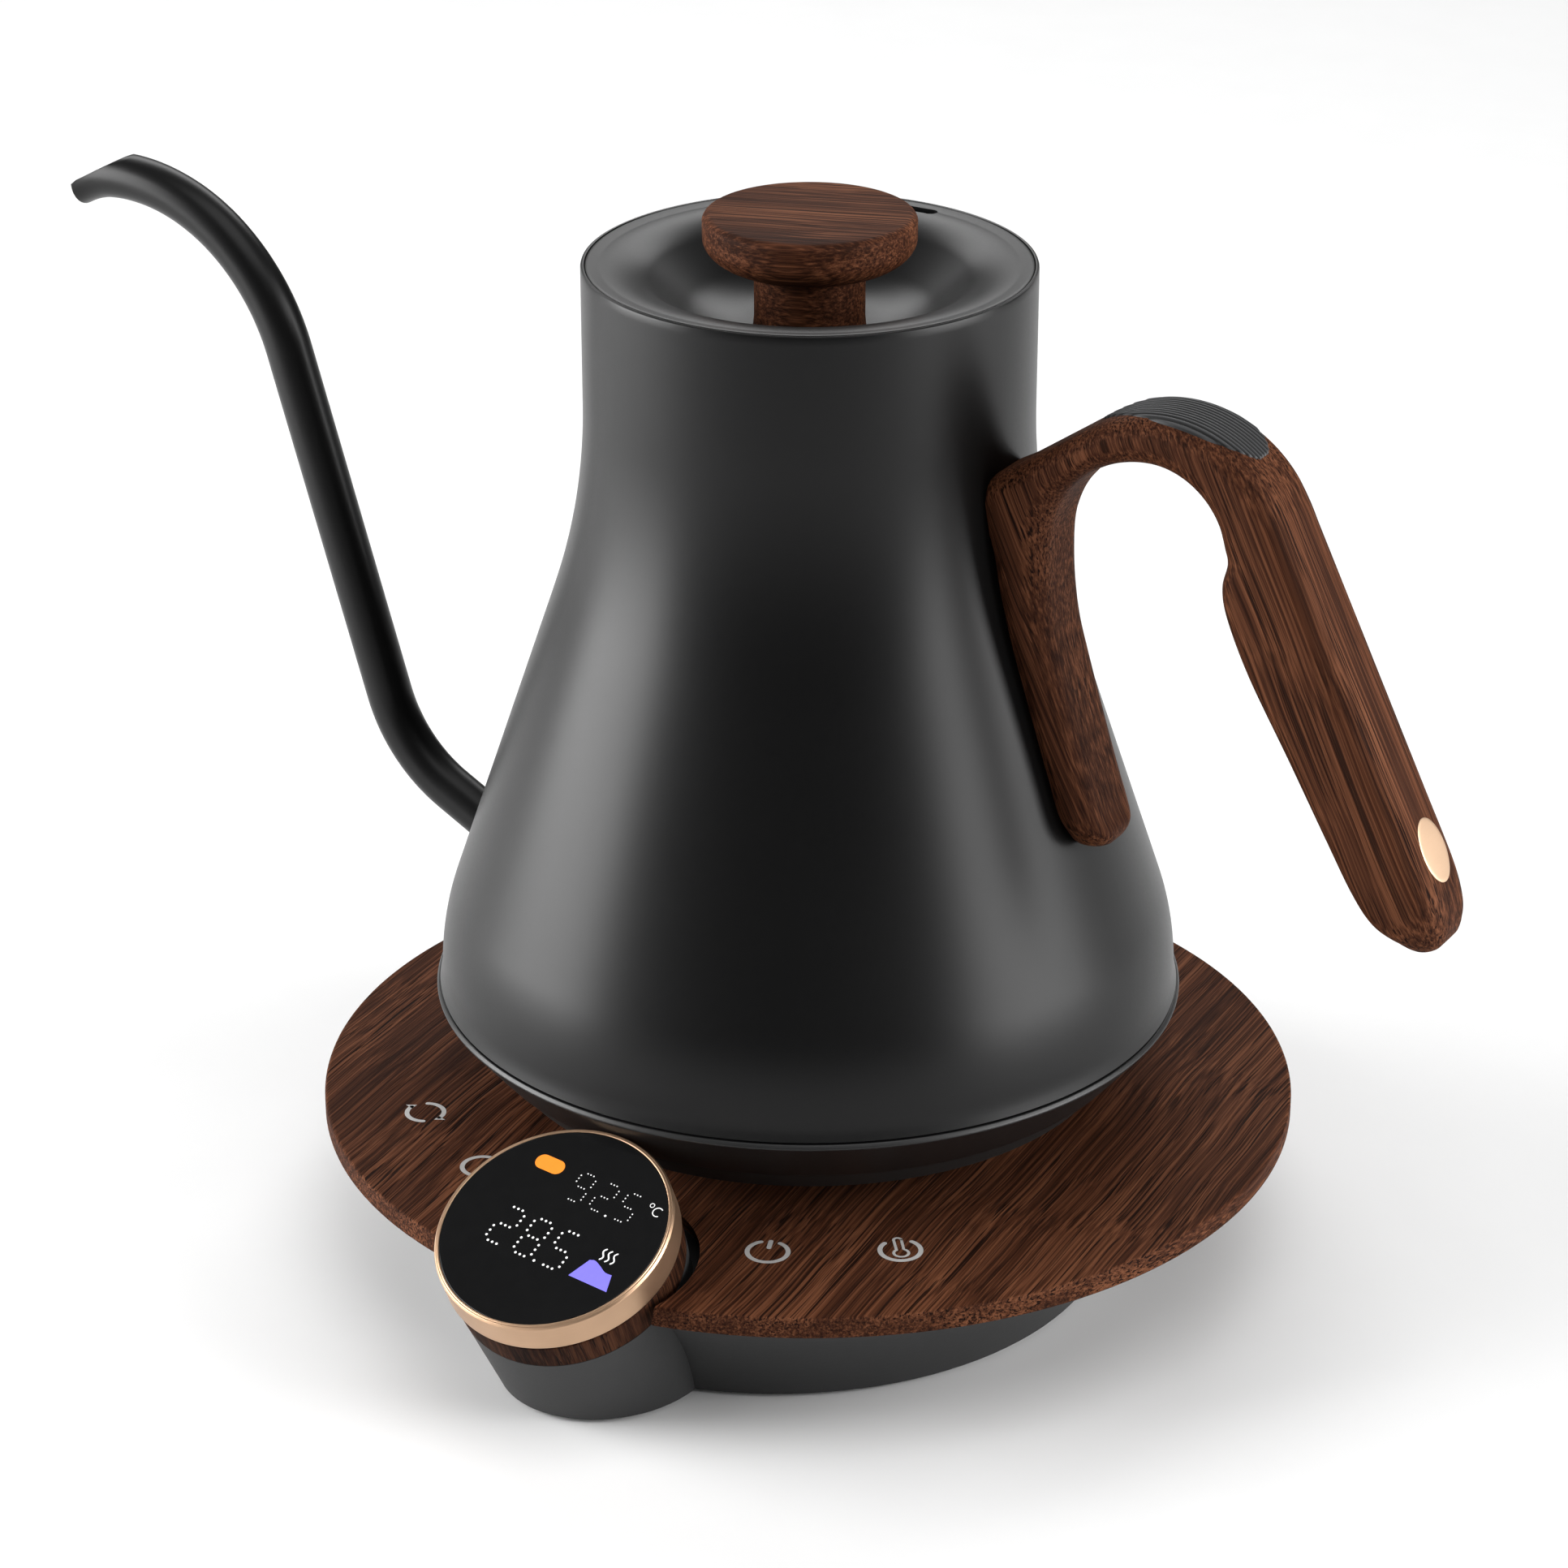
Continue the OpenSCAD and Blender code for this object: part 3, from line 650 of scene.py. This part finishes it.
def make_spout():
    """Bent tube with a real bore, its mouth cut obliquely, with a rolled and turned-out lip."""
    sides, count = 40, 150
    stations = spout_stations()
    outer = [even_line(line, count) for line in spout_wall_ring(stations, SPOUT_R, sides)]
    inner = [even_line(line, count) for line in spout_wall_ring(stations, SPOUT_R - SPOUT_WALL, sides)]
    flare_from, flare_out = 0.962, 1.9
    rings = []
    for i in range(count):
        ring_o = [outer[k][i] for k in range(sides)]
        ring_i = [inner[k][i] for k in range(sides)]
        share = i / (count - 1)
        centre = sum(ring_o, Vector((0, 0, 0))) / sides
        if share > flare_from:
            amount = flare_out * ((share - flare_from) / (1 - flare_from)) ** 2
            down = [max(0.0, (centre - p).normalized().z) for p in ring_o]
            ring_o = [flare(p, centre, amount * d) for p, d in zip(ring_o, down)]
            ring_i = [flare(p, centre, 0.35 * amount * d) for p, d in zip(ring_i, down)]
        rings.append((ring_o, ring_i))
    wall_rings = [ring for ring, _ in rings]
    last_o, last_i = rings[-1]
    tip = path_dir(END_TURN)
    bulge = Vector((tip.x, 0, tip.y))
    for step in range(1, 8):
        share = step / 8
        lift = math.sin(math.pi * share)
        ring = []
        for a, b in zip(last_o, last_i):
            ring.append(a.lerp(b, share) + bulge * (lift * min(0.5 * (a - b).length, 1.0)))
        wall_rings.append(ring)
    wall_rings += [ring for _, ring in reversed(rings)]
    return closed_rings("spout_tube", wall_rings)


def spout_weld():
    """Small fillet where the spout meets the body."""
    sides, steps, radius = 64, 8, 1.5
    start = spout_start()
    origin = Vector((start.x, 0, start.y))
    along = Vector((path_dir(LOW_TURN).x, 0, path_dir(LOW_TURN).y))
    across = Vector((lean_dir(LOW_TURN).x, 0, lean_dir(LOW_TURN).y))

    def on_body(distance, turn):
        """Where a line along the spout, at a distance from its centre, leaves the body."""
        base = origin + across * (distance * math.cos(turn)) + Vector((0, distance * math.sin(turn), 0))
        low_t, high_t = -40.0, 30.0
        for _ in range(40):
            t = (low_t + high_t) / 2
            p = base + along * t
            if math.hypot(p.x, p.y) < body_radius(p.z):
                low_t = t
            else:
                high_t = t
        return base + along * low_t

    rings = []
    for i in range(steps + 1):
        angle = math.pi / 2 * i / steps
        ring = []
        for k in range(sides):
            turn = 2 * math.pi * k / sides
            foot = on_body(SPOUT_R + radius * (1 - math.sin(angle)), turn)
            ring.append(foot + along * (radius * (1 - math.cos(angle)) - 0.02))
        rings.append(ring)
    rings.append(
        [on_body(SPOUT_R - WELD_BITE, 2 * math.pi * k / sides) + along * radius for k in range(sides)]
    )
    rings.append([on_body(SPOUT_R - 0.4, 2 * math.pi * k / sides) - along * 0.4 for k in range(sides)])
    rings.append(
        [on_body(SPOUT_R + radius, 2 * math.pi * k / sides) - along * WELD_BITE for k in range(sides)]
    )
    return closed_rings("spout_weld", rings)


def make_body():
    side = body_side(0.0)
    inner = [(r, z) for r, z in body_side(WALL)]
    ledge_z = RIM_Z - 5.7
    rim = [(NECK_R - 0.12, RIM_Z - 0.15), (NECK_R - 0.4, RIM_Z), (NECK_R - 0.7, RIM_Z - 0.05)]
    rim += [(NECK_R - 0.8, RIM_Z - 0.3), (NECK_R - 0.8, ledge_z)]
    inner = [p for p in inner if p[1] < ledge_z]
    body = revolve("body_shell", side + rim + list(reversed(inner)), segments=256)
    start = spout_start()
    inwards = Vector((-path_dir(LOW_TURN).x, 0, -path_dir(LOW_TURN).y))
    turned = inwards.to_track_quat("Z", "Y").to_matrix().to_4x4()
    place = Matrix.Translation((start.x, 0, start.y)) @ turned
    hole_r = SPOUT_R + HOLE_GAP
    hole = revolve("hole", [(0, -4), (hole_r, -4), (hole_r, 30), (0, 30)], place, segments=48)
    cut(body, hole)
    finish_piece(body, POWDER, "kettle", "powder_coat", "kettle_body")
    spout = finish_piece(make_spout(), POWDER, "kettle", "powder_coat", "spout")
    finish_piece(spout_weld(), POWDER, "kettle", "powder_coat")
    return body, spout


def make_skirt():
    top, foot = top_of("kettle_skirt"), bottom_of("kettle_skirt")
    outline = rounded(
        [
            (72.4, top - 0.4, 0.3), (75.2, top - 0.4, 0.35), (75.8, top - 1.2, 0.5), (67.0, foot, 0.5),
            (64.7, foot, 0.3), (72.2, top - 4.0, 1.0),
        ]
    )
    ring = revolve("skirt_ring", outline, segments=256)
    finish_piece(ring, SKIRT_PLASTIC, "kettle", "skirt_plastic", "kettle_skirt")


# ---------- handle ----------


def spline(points, per_span):
    """Catmull-Rom curve through points."""
    points = [Vector(p) for p in points]
    padded = [points[0] * 2 - points[1]] + points + [points[-1] * 2 - points[-2]]
    out = []
    for i in range(1, len(padded) - 2):
        p0, p1, p2, p3 = padded[i - 1 : i + 3]
        for k in range(per_span):
            t = k / per_span
            square = (2 * p0 - 5 * p1 + 4 * p2 - p3) * t * t
            cube = (3 * p1 - p0 - 3 * p2 + p3) * t**3
            out.append(0.5 * (2 * p1 + (p2 - p0) * t + square + cube))
    out.append(points[-1])
    return out


def handle_edges():
    """Pairs of points on the handle's outer and inner edges, from the root's tip to the grip's end."""
    bury = 1.5
    pairs = []
    root = ((99.2, 66.9), (99.9, 69.2), (102.6, 70.3), (106, 68.7), (112, 66.5), (120, 63.9))
    root += ((128, 61.4), (136, 59.0), (142, 57.4), (150, 56.2), (157, 55.8))
    for z, x in root:
        pairs.append(((body_radius(z) - bury, z), (x, z)))
    left, right = (76.8, 159.6, 21.0), (76.8, 164.6, 16.0)

    def hollow(angle):
        """Point on the hollow of the arch, which is made of two round stretches."""
        x, z, radius = left if angle > 90 else right
        return arc((x, z), radius, angle, angle, 1)[0]

    rise = (((42.0, 163.5), 172), ((42.0, 170.2), 160), ((48.5, 174.8), 149), ((56.4, 180.2), 138))
    for outer, angle in rise:
        pairs.append((outer, hollow(angle)))
    for i in range(9):
        outer = arc(ARCH, ARCH_R, 125 - (125 - 26.7) * i / 8, 0, 1)[0]
        pairs.append((outer, hollow(127 - 117 * i / 8)))
    top, foot = Vector(pairs[-1][0]), Vector((137.0, 110.6))
    grip = ((0.07, (93.2, 164.3)), (0.125, (92.3, 159.4)), (0.206, (93.6, 153.4)))
    grip += ((0.37, (98.6, 142.7)), (0.58, (107.2, 128.3)), (0.79, (115.4, 114.3)))
    for share, inner in grip:
        pairs.append((tuple(top.lerp(foot, share)), inner))
    pairs += [((137.0, 110.6), (121.2, 104.6)), ((139.4, 104.2), (125.6, 99.1))]
    pairs += [((140.3, 100.3), (130.2, 96.1)), ((139.8, 97.3), (134.2, 94.7))]
    pairs += [((138.9, 95.8), (136.6, 94.7))]
    return pairs


def make_handle():
    """Carved wooden handle: rounded sections across it, fitted to the body's curve."""
    per_span, section, corner = 8, 48, 5.0
    pairs = handle_edges()
    outer = spline([p for p, _ in pairs], per_span)
    inner = spline([p for _, p in pairs], per_span)
    middle = [(a + b) / 2 for a, b in zip(outer, inner)]
    lengths = [0.0]
    for a, b in zip(middle, middle[1:]):
        lengths.append(lengths[-1] + (b - a).length)
    root_round, grip_round, gap = 9.0, 10.0, 0.05
    rings = []
    for a, b, along in zip(outer, inner, lengths):
        near_root = max(0.0, 1 - along / root_round)
        near_end = max(0.0, 1 - (lengths[-1] - along) / grip_round)
        half_w = HANDLE_HALF * (0.12 + 0.88 * math.sqrt(1 - near_root**2))
        half_w *= 0.4 + 0.6 * math.sqrt(1 - near_end**2)
        half_t = (a - b).length / 2
        radius = min(corner, half_t * 0.98, half_w * 0.9)
        centre, across = (a + b) / 2, (a - b).normalized()
        ring = []
        for k in range(section):
            turn = 2 * math.pi * (k + 0.5) / section
            c, s = math.cos(turn), math.sin(turn)
            t = math.copysign(half_t - radius, c) + radius * c
            w = math.copysign(half_w - radius, s) + radius * s
            x, z = centre.x + across.x * t, centre.y + across.y * t
            wall = body_radius(z) + gap
            if abs(w) < wall:
                x = max(x, math.sqrt(wall * wall - w * w))
            ring.append((x, w, z))
        rings.append(ring)
    handle = loft("handle_wood", rings)
    return finish_piece(handle, HANDLE_WOOD, "kettle", "walnut", "handle_grip")


def make_pad():
    """Ribbed silicone thumb pad, let into the handle's arch."""
    rows, cols, ribs = 96, 150, 15
    first, last, half_w, deep, corner = 127.0, 49.5, 7.8, 4.8, 5.0
    widest = 0.58
    verts, faces = [], []
    for i in range(rows + 1):
        t = i / rows
        if t < widest:
            half = half_w * max(0.02, 1 - (1 - t / widest) ** 2) ** 0.8
        else:
            half = half_w * max(0.02, 1 - ((t - widest) / (1 - widest)) ** 2.4) ** 0.5
        angle = math.radians(first + (last - first) * t)
        for j in range(cols + 1):
            y = (2 * j / cols - 1) * half_w
            edge = min(half - abs(y), t * 36, (1 - t) * 36)
            inside = min(max(edge / 0.7, 0.0), 1.0)
            past = max(0.0, abs(y) - (HANDLE_HALF - corner))
            crown = corner - math.sqrt(corner**2 - past**2)
            rib = 0.32 * abs(math.sin(math.pi * ribs * y / (2 * half_w)))
            radius = ARCH_R - 2.6 - crown + (2.65 + rib) * inside**0.4
            verts.append((ARCH[0] + radius * math.cos(angle), y, ARCH[1] + radius * math.sin(angle)))
    top = len(verts)
    for i in range(rows + 1):
        for j in range(cols + 1):
            x, y, z = verts[i * (cols + 1) + j]
            away = Vector((x - ARCH[0], z - ARCH[1])).normalized() * (ARCH_R - deep)
            verts.append((ARCH[0] + away.x, y, ARCH[1] + away.y))
    wide = cols + 1
    for i in range(rows):
        for j in range(cols):
            a = i * wide + j
            faces.append((a, a + 1, a + wide + 1, a + wide))
            faces.append((top + a, top + a + wide, top + a + wide + 1, top + a + 1))
    rim = [j for j in range(wide)] + [i * wide + cols for i in range(1, rows + 1)]
    rim += [rows * wide + j for j in range(cols - 1, -1, -1)]
    rim += [i * wide for i in range(rows - 1, 0, -1)]
    for a, b in zip(rim, rim[1:] + rim[:1]):
        faces.append((a, b, top + b, top + a))
    pad = new_object("thumb_pad_ribbed", verts, faces)
    smooth(pad, 70)
    return finish_piece(pad, PAD_RUBBER, "kettle", "silicone", "thumb_pad")


def make_badge():
    """Plain oval metal inlay near the grip's end."""
    place = Matrix.Translation((135.1, 0, 113.9)) @ Matrix.Rotation(math.pi / 2 - GRIP_LEAN, 4, "Y")
    crown = [(1, 0.35, 0.22), (0.9, 0.42, 0.3), (0, 0.5, 0)]
    outline = rounded([(0, -1.2, 0), (1, -1.2, 0), *crown], closed=False)
    badge = revolve("handle_badge_oval", outline, segments=96, closed=False)
    stretch = Matrix.Diagonal((6.4, 4.5, 1.0, 1.0))
    badge.data.transform(Matrix.Translation(place.translation * MM) @ place.to_3x3().to_4x4() @ stretch)
    smooth(badge)
    return finish_piece(badge, GOLD_BADGE, "kettle", "rose_gold", "handle_badge")


# ---------- lid ----------


LID_FLOOR = bottom_of("lid_knob")


def lid_face(drop):
    """The dished lid's face from the rim inwards, lowered by drop."""
    rim = [(43.0, 205.0), (42.8, 205.14), (42.4, 205.2)]
    roll = arc((39.5, 190.9), 14.0, 85, 128, 16)
    bowl = arc((12.0, LID_FLOOR + 20.0), 20.0, -52, -90, 14)
    floor = [(9.0, LID_FLOOR), (6.0, LID_FLOOR)]
    return [(r, z - drop) for r, z in rim + roll + bowl + floor]


def make_lid():
    upper, lower = lid_face(0.0), lid_face(1.0)
    hem = [(43.0, 199.8), (42.0, 199.8)]
    inner = [(42.0, 204.1)] + [p for p in lower if p[0] < 41.5]
    outline = list(reversed(upper)) + hem + inner
    lid = revolve("lid_dish", outline, segments=256)
    slot_w, slot_half, slot_y = 2.6, 5.5, 39.6
    run = slot_half - slot_w / 2
    path = [(-run, slot_y), (0, slot_y), (run, slot_y)]
    cut(lid, slab("slot", stroke(path, slot_w), 200.0, 210.0))
    finish_piece(lid, POWDER, "lid", "powder_coat", "lid_shell")
    knob_r, top = radius_of("lid_knob"), top_of("lid_knob")
    crown = [(0.0, top), (knob_r - 3.4, top)] + arc((knob_r - 1.7, top - 1.75), 1.75, 88, 8, 8)
    side = [(knob_r, top - 2.2), (knob_r, top - 4.2)]
    belly = [
        (10.7 + (knob_r - 10.7) * math.cos(a), top - 4.6 - 6.0 * math.sin(a))
        for a in [math.radians(5 + 80 * i / 14) for i in range(15)]
    ]
    neck = [(10.7, 203.6), (10.7, LID_FLOOR + 2), (10.9, LID_FLOOR), (0.0, LID_FLOOR)]
    knob = revolve("knob_wood", crown + side + belly + neck, segments=160, closed=False)
    finish_piece(knob, KNOB_WOOD, "lid", "walnut", "lid_knob")


# ---------- base ----------


def ring_mark(radius, width, start, end):
    steps = max(6, int(abs(end - start) / 6))
    return stroke(arc((0, 0), radius, start, end, steps), width)


def icon_outlines(kind):
    """Flat shapes of one touch symbol, centred on it, Y towards the kettle."""
    line, ring = 0.95, 3.95
    if kind == "power":
        return [ring_mark(ring, line, 118, 422), stroke([(0, 1.5), (0, 4.0)], line)]
    if kind == "heat":
        stem = [(-0.75, 3.9), (-0.75, -0.05)]
        bulb = arc((0, -1.1), 1.45, 118, 422, 24)
        cap = arc((0, 3.9), 0.75, 0, 180, 8)
        column = stroke(cap + stem[1:] + bulb[1:] + [(0.75, 3.9)], 0.55)
        return [ring_mark(ring, line, 132, 408), column]
    if kind == "timer":
        return [ring_mark(ring, line, 100, 455), stroke([(0.1, 0), (2.6, 1.6)], 0.9)]
    loop = []
    for turn in (0, 180):
        start, end = 50 + turn, 175 + turn
        loop.append(ring_mark(ring - 0.2, line, start, end))
        tip = Vector(arc((0, 0), ring - 0.2, start, start, 1)[0])
        out = tip.normalized()
        along = Vector((out.y, -out.x))
        corners = (tip + out * 1.5 - along * 0.1, tip - out * 0.5 - along * 0.5, tip - out * 0.3 + along * 1.2)
        loop.append([tuple(corner) for corner in corners])
    return loop


PRINT_SINK, PRINT_LIFT = 0.05, 0.03
# symbol: angle from the front, distance from the kettle's axis, own turn
ICONS = {
    "loop": (-45.3, 79.9, -12),
    "timer": (-26.5, 76.8, 20),
    "power": (25.0, 74.9, -3),
    "heat": (44.5, 75.9, -6),
}


def make_plate():
    fillet, bore = 0.7, 24.2
    outer = [(PLATE_R, PLATE_FOOT, fillet), (PLATE_R, PLATE_TOP, fillet)]
    outline = rounded([(bore, PLATE_FOOT, 0.2), *outer, (bore, PLATE_TOP, 0.3)])
    plate = revolve("plate_wood", outline, segments=256)
    notch = revolve("notch", [(0, -30), (24.7, -30), (24.7, 20), (0, 20)], DIAL_MATRIX, segments=128)
    cut(plate, notch)
    finish_piece(plate, PLATE_WOOD, "base", "walnut", "base_plate")
    marks = []
    for kind, (angle, distance, twist) in ICONS.items():
        place = Matrix.Rotation(math.radians(angle), 4, "Z") @ Matrix.Translation((0, -distance, 0))
        place = place @ Matrix.Rotation(math.radians(twist), 4, "Z")
        for n, shape in enumerate(icon_outlines(kind)):
            marks.append(slab(f"{kind}_{n}", shape, PLATE_TOP - PRINT_SINK, PLATE_TOP + PRINT_LIFT, place))
    icons = join("touch_symbols", marks)
    finish_piece(icons, ICON_INK, "base", "icon_print", "touch_icons")


# ---------- dial ----------

GLASS_R = 22.6
DISPLAY_TURN = Matrix.Rotation(math.radians(-6.3), 4, "Z")
SEGMENTS = {
    "2": "top right_high middle left_low bottom",
    "5": "top left_high middle right_low bottom",
    "8": "top right_high right_low middle left_high left_low bottom",
    "9": "top right_high right_low middle left_high bottom",
}


def digit_dots(character, centre, half_w, half_h, pitch):
    """Places of the three dots in each lit segment of a digit."""
    ends = {
        "top": (0, 1, 1, 0), "middle": (0, 0, 1, 0), "bottom": (0, -1, 1, 0),
        "left_high": (-1, 0.5, 0, 1), "right_high": (1, 0.5, 0, 1),
        "left_low": (-1, -0.5, 0, 1), "right_low": (1, -0.5, 0, 1),
    }
    dots = []
    for name in SEGMENTS[character].split():
        x, y, along, up = ends[name]
        for k in (-1, 0, 1):
            across = centre[0] + x * half_w + along * k * pitch
            dots.append((across, centre[1] + y * half_h + up * k * pitch * 1.1))
    return dots


def lit_mark(name, outline):
    """A thin print lying just over the dial's face."""
    z = 0.02
    return slab(name, outline, z, z + PRINT_LIFT, DIAL_MATRIX @ DISPLAY_TURN)


def make_display():
    """Dotted numbers, an orange marker, a unit, steam lines and a violet hill, just over the glass."""
    white, dots = [], []
    for i, character in enumerate("925"):
        dots += [(p, 0.15) for p in digit_dots(character, (-0.55 + 5.7 * i, 9.96), 1.76, 3.28, 0.71)]
    for i, character in enumerate("285"):
        dots += [(p, 0.26) for p in digit_dots(character, (-8.95 + 6.83 * i, -3.82), 2.14, 4.29, 1.07)]
    dots += [((7.9, 6.5), 0.24), ((1.35, -8.1), 0.28)]
    for n, (centre, radius) in enumerate(dots):
        white.append(lit_mark(f"dot_{n}", arc(centre, radius, 0, 350, 15)))
    white.append(lit_mark("degree", stroke(arc((15.0, 12.5), 0.45, 0, 340, 16), 0.14)))
    white.append(lit_mark("unit", stroke(arc((16.9, 11.6), 1.0, 55, 305, 20), 0.2)))
    steps = 12
    for n in range(3):
        wave = []
        for k in range(steps + 1):
            sway = 0.36 * math.sin(2.0 * math.pi * k / steps)
            wave.append((13.0 + 1.3 * n + sway, -2.3 + 2.5 * k / steps))
        white.append(lit_mark(f"steam_{n}", stroke(wave, 0.3)))
    numbers = join("display_numbers", white)
    finish_piece(numbers, lit("display_white", (0.95, 0.95, 0.95), 1.0), "dial_head", "display_glass")
    pill = lit_mark("display_marker", stroke([(-11.35, 11.88), (-9.7, 11.88), (-8.0, 11.88)], 3.3, 14))
    finish_piece(pill, lit("display_orange", (1.0, 0.29, 0.02), 0.95), "dial_head", "display_glass")
    hump = spline([(11.35, -3.25), (12.45, -2.95), (14.0, -3.5), (15.85, -4.35), (17.46, -4.35)], 6)
    hill = [(9.65, -7.95)] + [tuple(p) for p in hump] + [(18.8, -7.95)]
    level = lit_mark("display_level", hill)
    finish_piece(level, lit("display_violet", (0.22, 0.19, 0.87), 1.0), "dial_head", "display_glass")


def make_dial():
    ring_r, depth = 23.7, 6.45
    outline = rounded(
        [
            (GLASS_R + 0.05, -1.6, 0.1), (GLASS_R + 0.05, 0.0, 0.12), (GLASS_R + 0.4, 0.05, 0.12),
            (GLASS_R + 0.5, -0.12, 0.06), (ring_r - 0.35, -0.1, 0.15), (ring_r, -0.55, 0.3),
            (ring_r, -depth, 0.25), (GLASS_R - 0.2, -depth, 0.1), (GLASS_R - 0.2, -5.0, 0.1),
            (GLASS_R + 0.05, -5.0, 0.05),
        ]
    )
    ring = revolve("dial_ring_metal", outline, DIAL_MATRIX, segments=256)
    finish_piece(ring, GOLD, "dial_knob", "rose_gold", "dial_ring")
    edge = [(GLASS_R, -1.1, 0.1), (GLASS_R, 0.0, 0.18)]
    face = rounded([(0, -1.1, 0), *edge, (0, 0.0, 0)], closed=False)
    glass = revolve("dial_glass_face", face, DIAL_MATRIX, segments=192, closed=False)
    finish_piece(glass, GLASS, "dial_head", "display_glass", "dial_glass")
    wood_r, top, foot, taper = 23.3, 7.05, 13.4, 0.075
    low_r = wood_r - taper * (foot - top)
    collar = rounded([(wood_r, -top, 0.45), (low_r, -foot, 0.25), (8.2, -foot, 0.1), (8.2, -top, 0.2)])
    wood = revolve("tower_ring_wood", collar, DIAL_MATRIX, segments=192)
    return finish_piece(wood, TOWER_WOOD, "base", "walnut", "dial_wood_ring")


# ---------- studio ----------

CAMERA_PLACE = Vector((0.44446, -0.7436, 0.49361))
CAMERA_LOOK = Vector((-0.47056, 0.77719, -0.41779))
LENS = 109.0


def make_camera():
    camera = bpy.data.cameras.new("camera")
    camera.lens = LENS
    camera.sensor_width = 36.0
    obj = bpy.data.objects.new("camera", camera)
    obj.location = CAMERA_PLACE
    obj.rotation_euler = CAMERA_LOOK.to_track_quat("-Z", "Y").to_euler()
    bpy.context.scene.collection.objects.link(obj)
    bpy.context.scene.camera = obj


def softbox(name, azimuth, elevation, distance, size, radiance, target=(0.0, 0.0, 0.1)):
    """Area light aimed at the object; azimuth counts from the camera's side, positive to its right."""
    toward = Vector((-CAMERA_LOOK.x, -CAMERA_LOOK.y, 0)).normalized()
    spin = Matrix.Rotation(math.radians(azimuth), 3, "Z")
    level = spin @ toward
    up = math.radians(elevation)
    place = Vector(target) + (level * math.cos(up) + Vector((0, 0, math.sin(up)))) * distance
    light = bpy.data.lights.new(name, "AREA")
    light.shape = "RECTANGLE"
    light.size, light.size_y = size
    light.energy = radiance * math.pi * size[0] * size[1]
    obj = bpy.data.objects.new(name, light)
    obj.location = place
    obj.rotation_euler = (Vector(target) - place).to_track_quat("-Z", "Y").to_euler()
    bpy.context.scene.collection.objects.link(obj)


def make_studio():
    softbox("softbox_left", -90, 12, 1.3, (1.0, 1.0), 11.5)
    softbox("softbox_right", 72, 12, 1.3, (0.95, 1.0), 8.5)
    softbox("softbox_top", 30, 70, 1.5, (1.2, 1.2), 1.9)
    softbox("softbox_back", 180, 36, 1.8, (1.8, 0.7), 4.0)
    bpy.context.scene.view_settings.view_transform = "Standard"
    reach = 5000
    corners = [(-reach, -reach, 0), (reach, -reach, 0), (reach, reach, 0), (-reach, reach, 0)]
    floor = new_object("floor", corners, [(0, 1, 2, 3)])
    white = plain_finish("floor_white", (0.8, 0.8, 0.8), 0.75, grain=40.0, variation=0.01)
    floor.data.materials.append(white)
    world = bpy.data.worlds.new("studio")
    world.use_nodes = True
    nodes, links = world.node_tree.nodes, world.node_tree.links
    coords = nodes.new("ShaderNodeTexCoord")
    split = nodes.new("ShaderNodeSeparateXYZ")
    ramp = nodes.new("ShaderNodeValToRGB")
    links.new(coords.outputs["Generated"], split.inputs[0])
    links.new(split.outputs["Z"], ramp.inputs["Fac"])
    for element, (position, grey) in zip(ramp.color_ramp.elements, ((0.0, 0.02), (0.9, 0.2))):
        element.position = position
        element.color = (grey, grey, grey, 1)
    links.new(ramp.outputs["Color"], nodes["Background"].inputs["Color"])
    bpy.context.scene.world = world


dress_cad_nodes()
make_body()
make_skirt()
make_handle()
make_pad()
make_badge()
make_lid()
make_plate()
make_dial()
make_display()
make_studio()
make_camera()
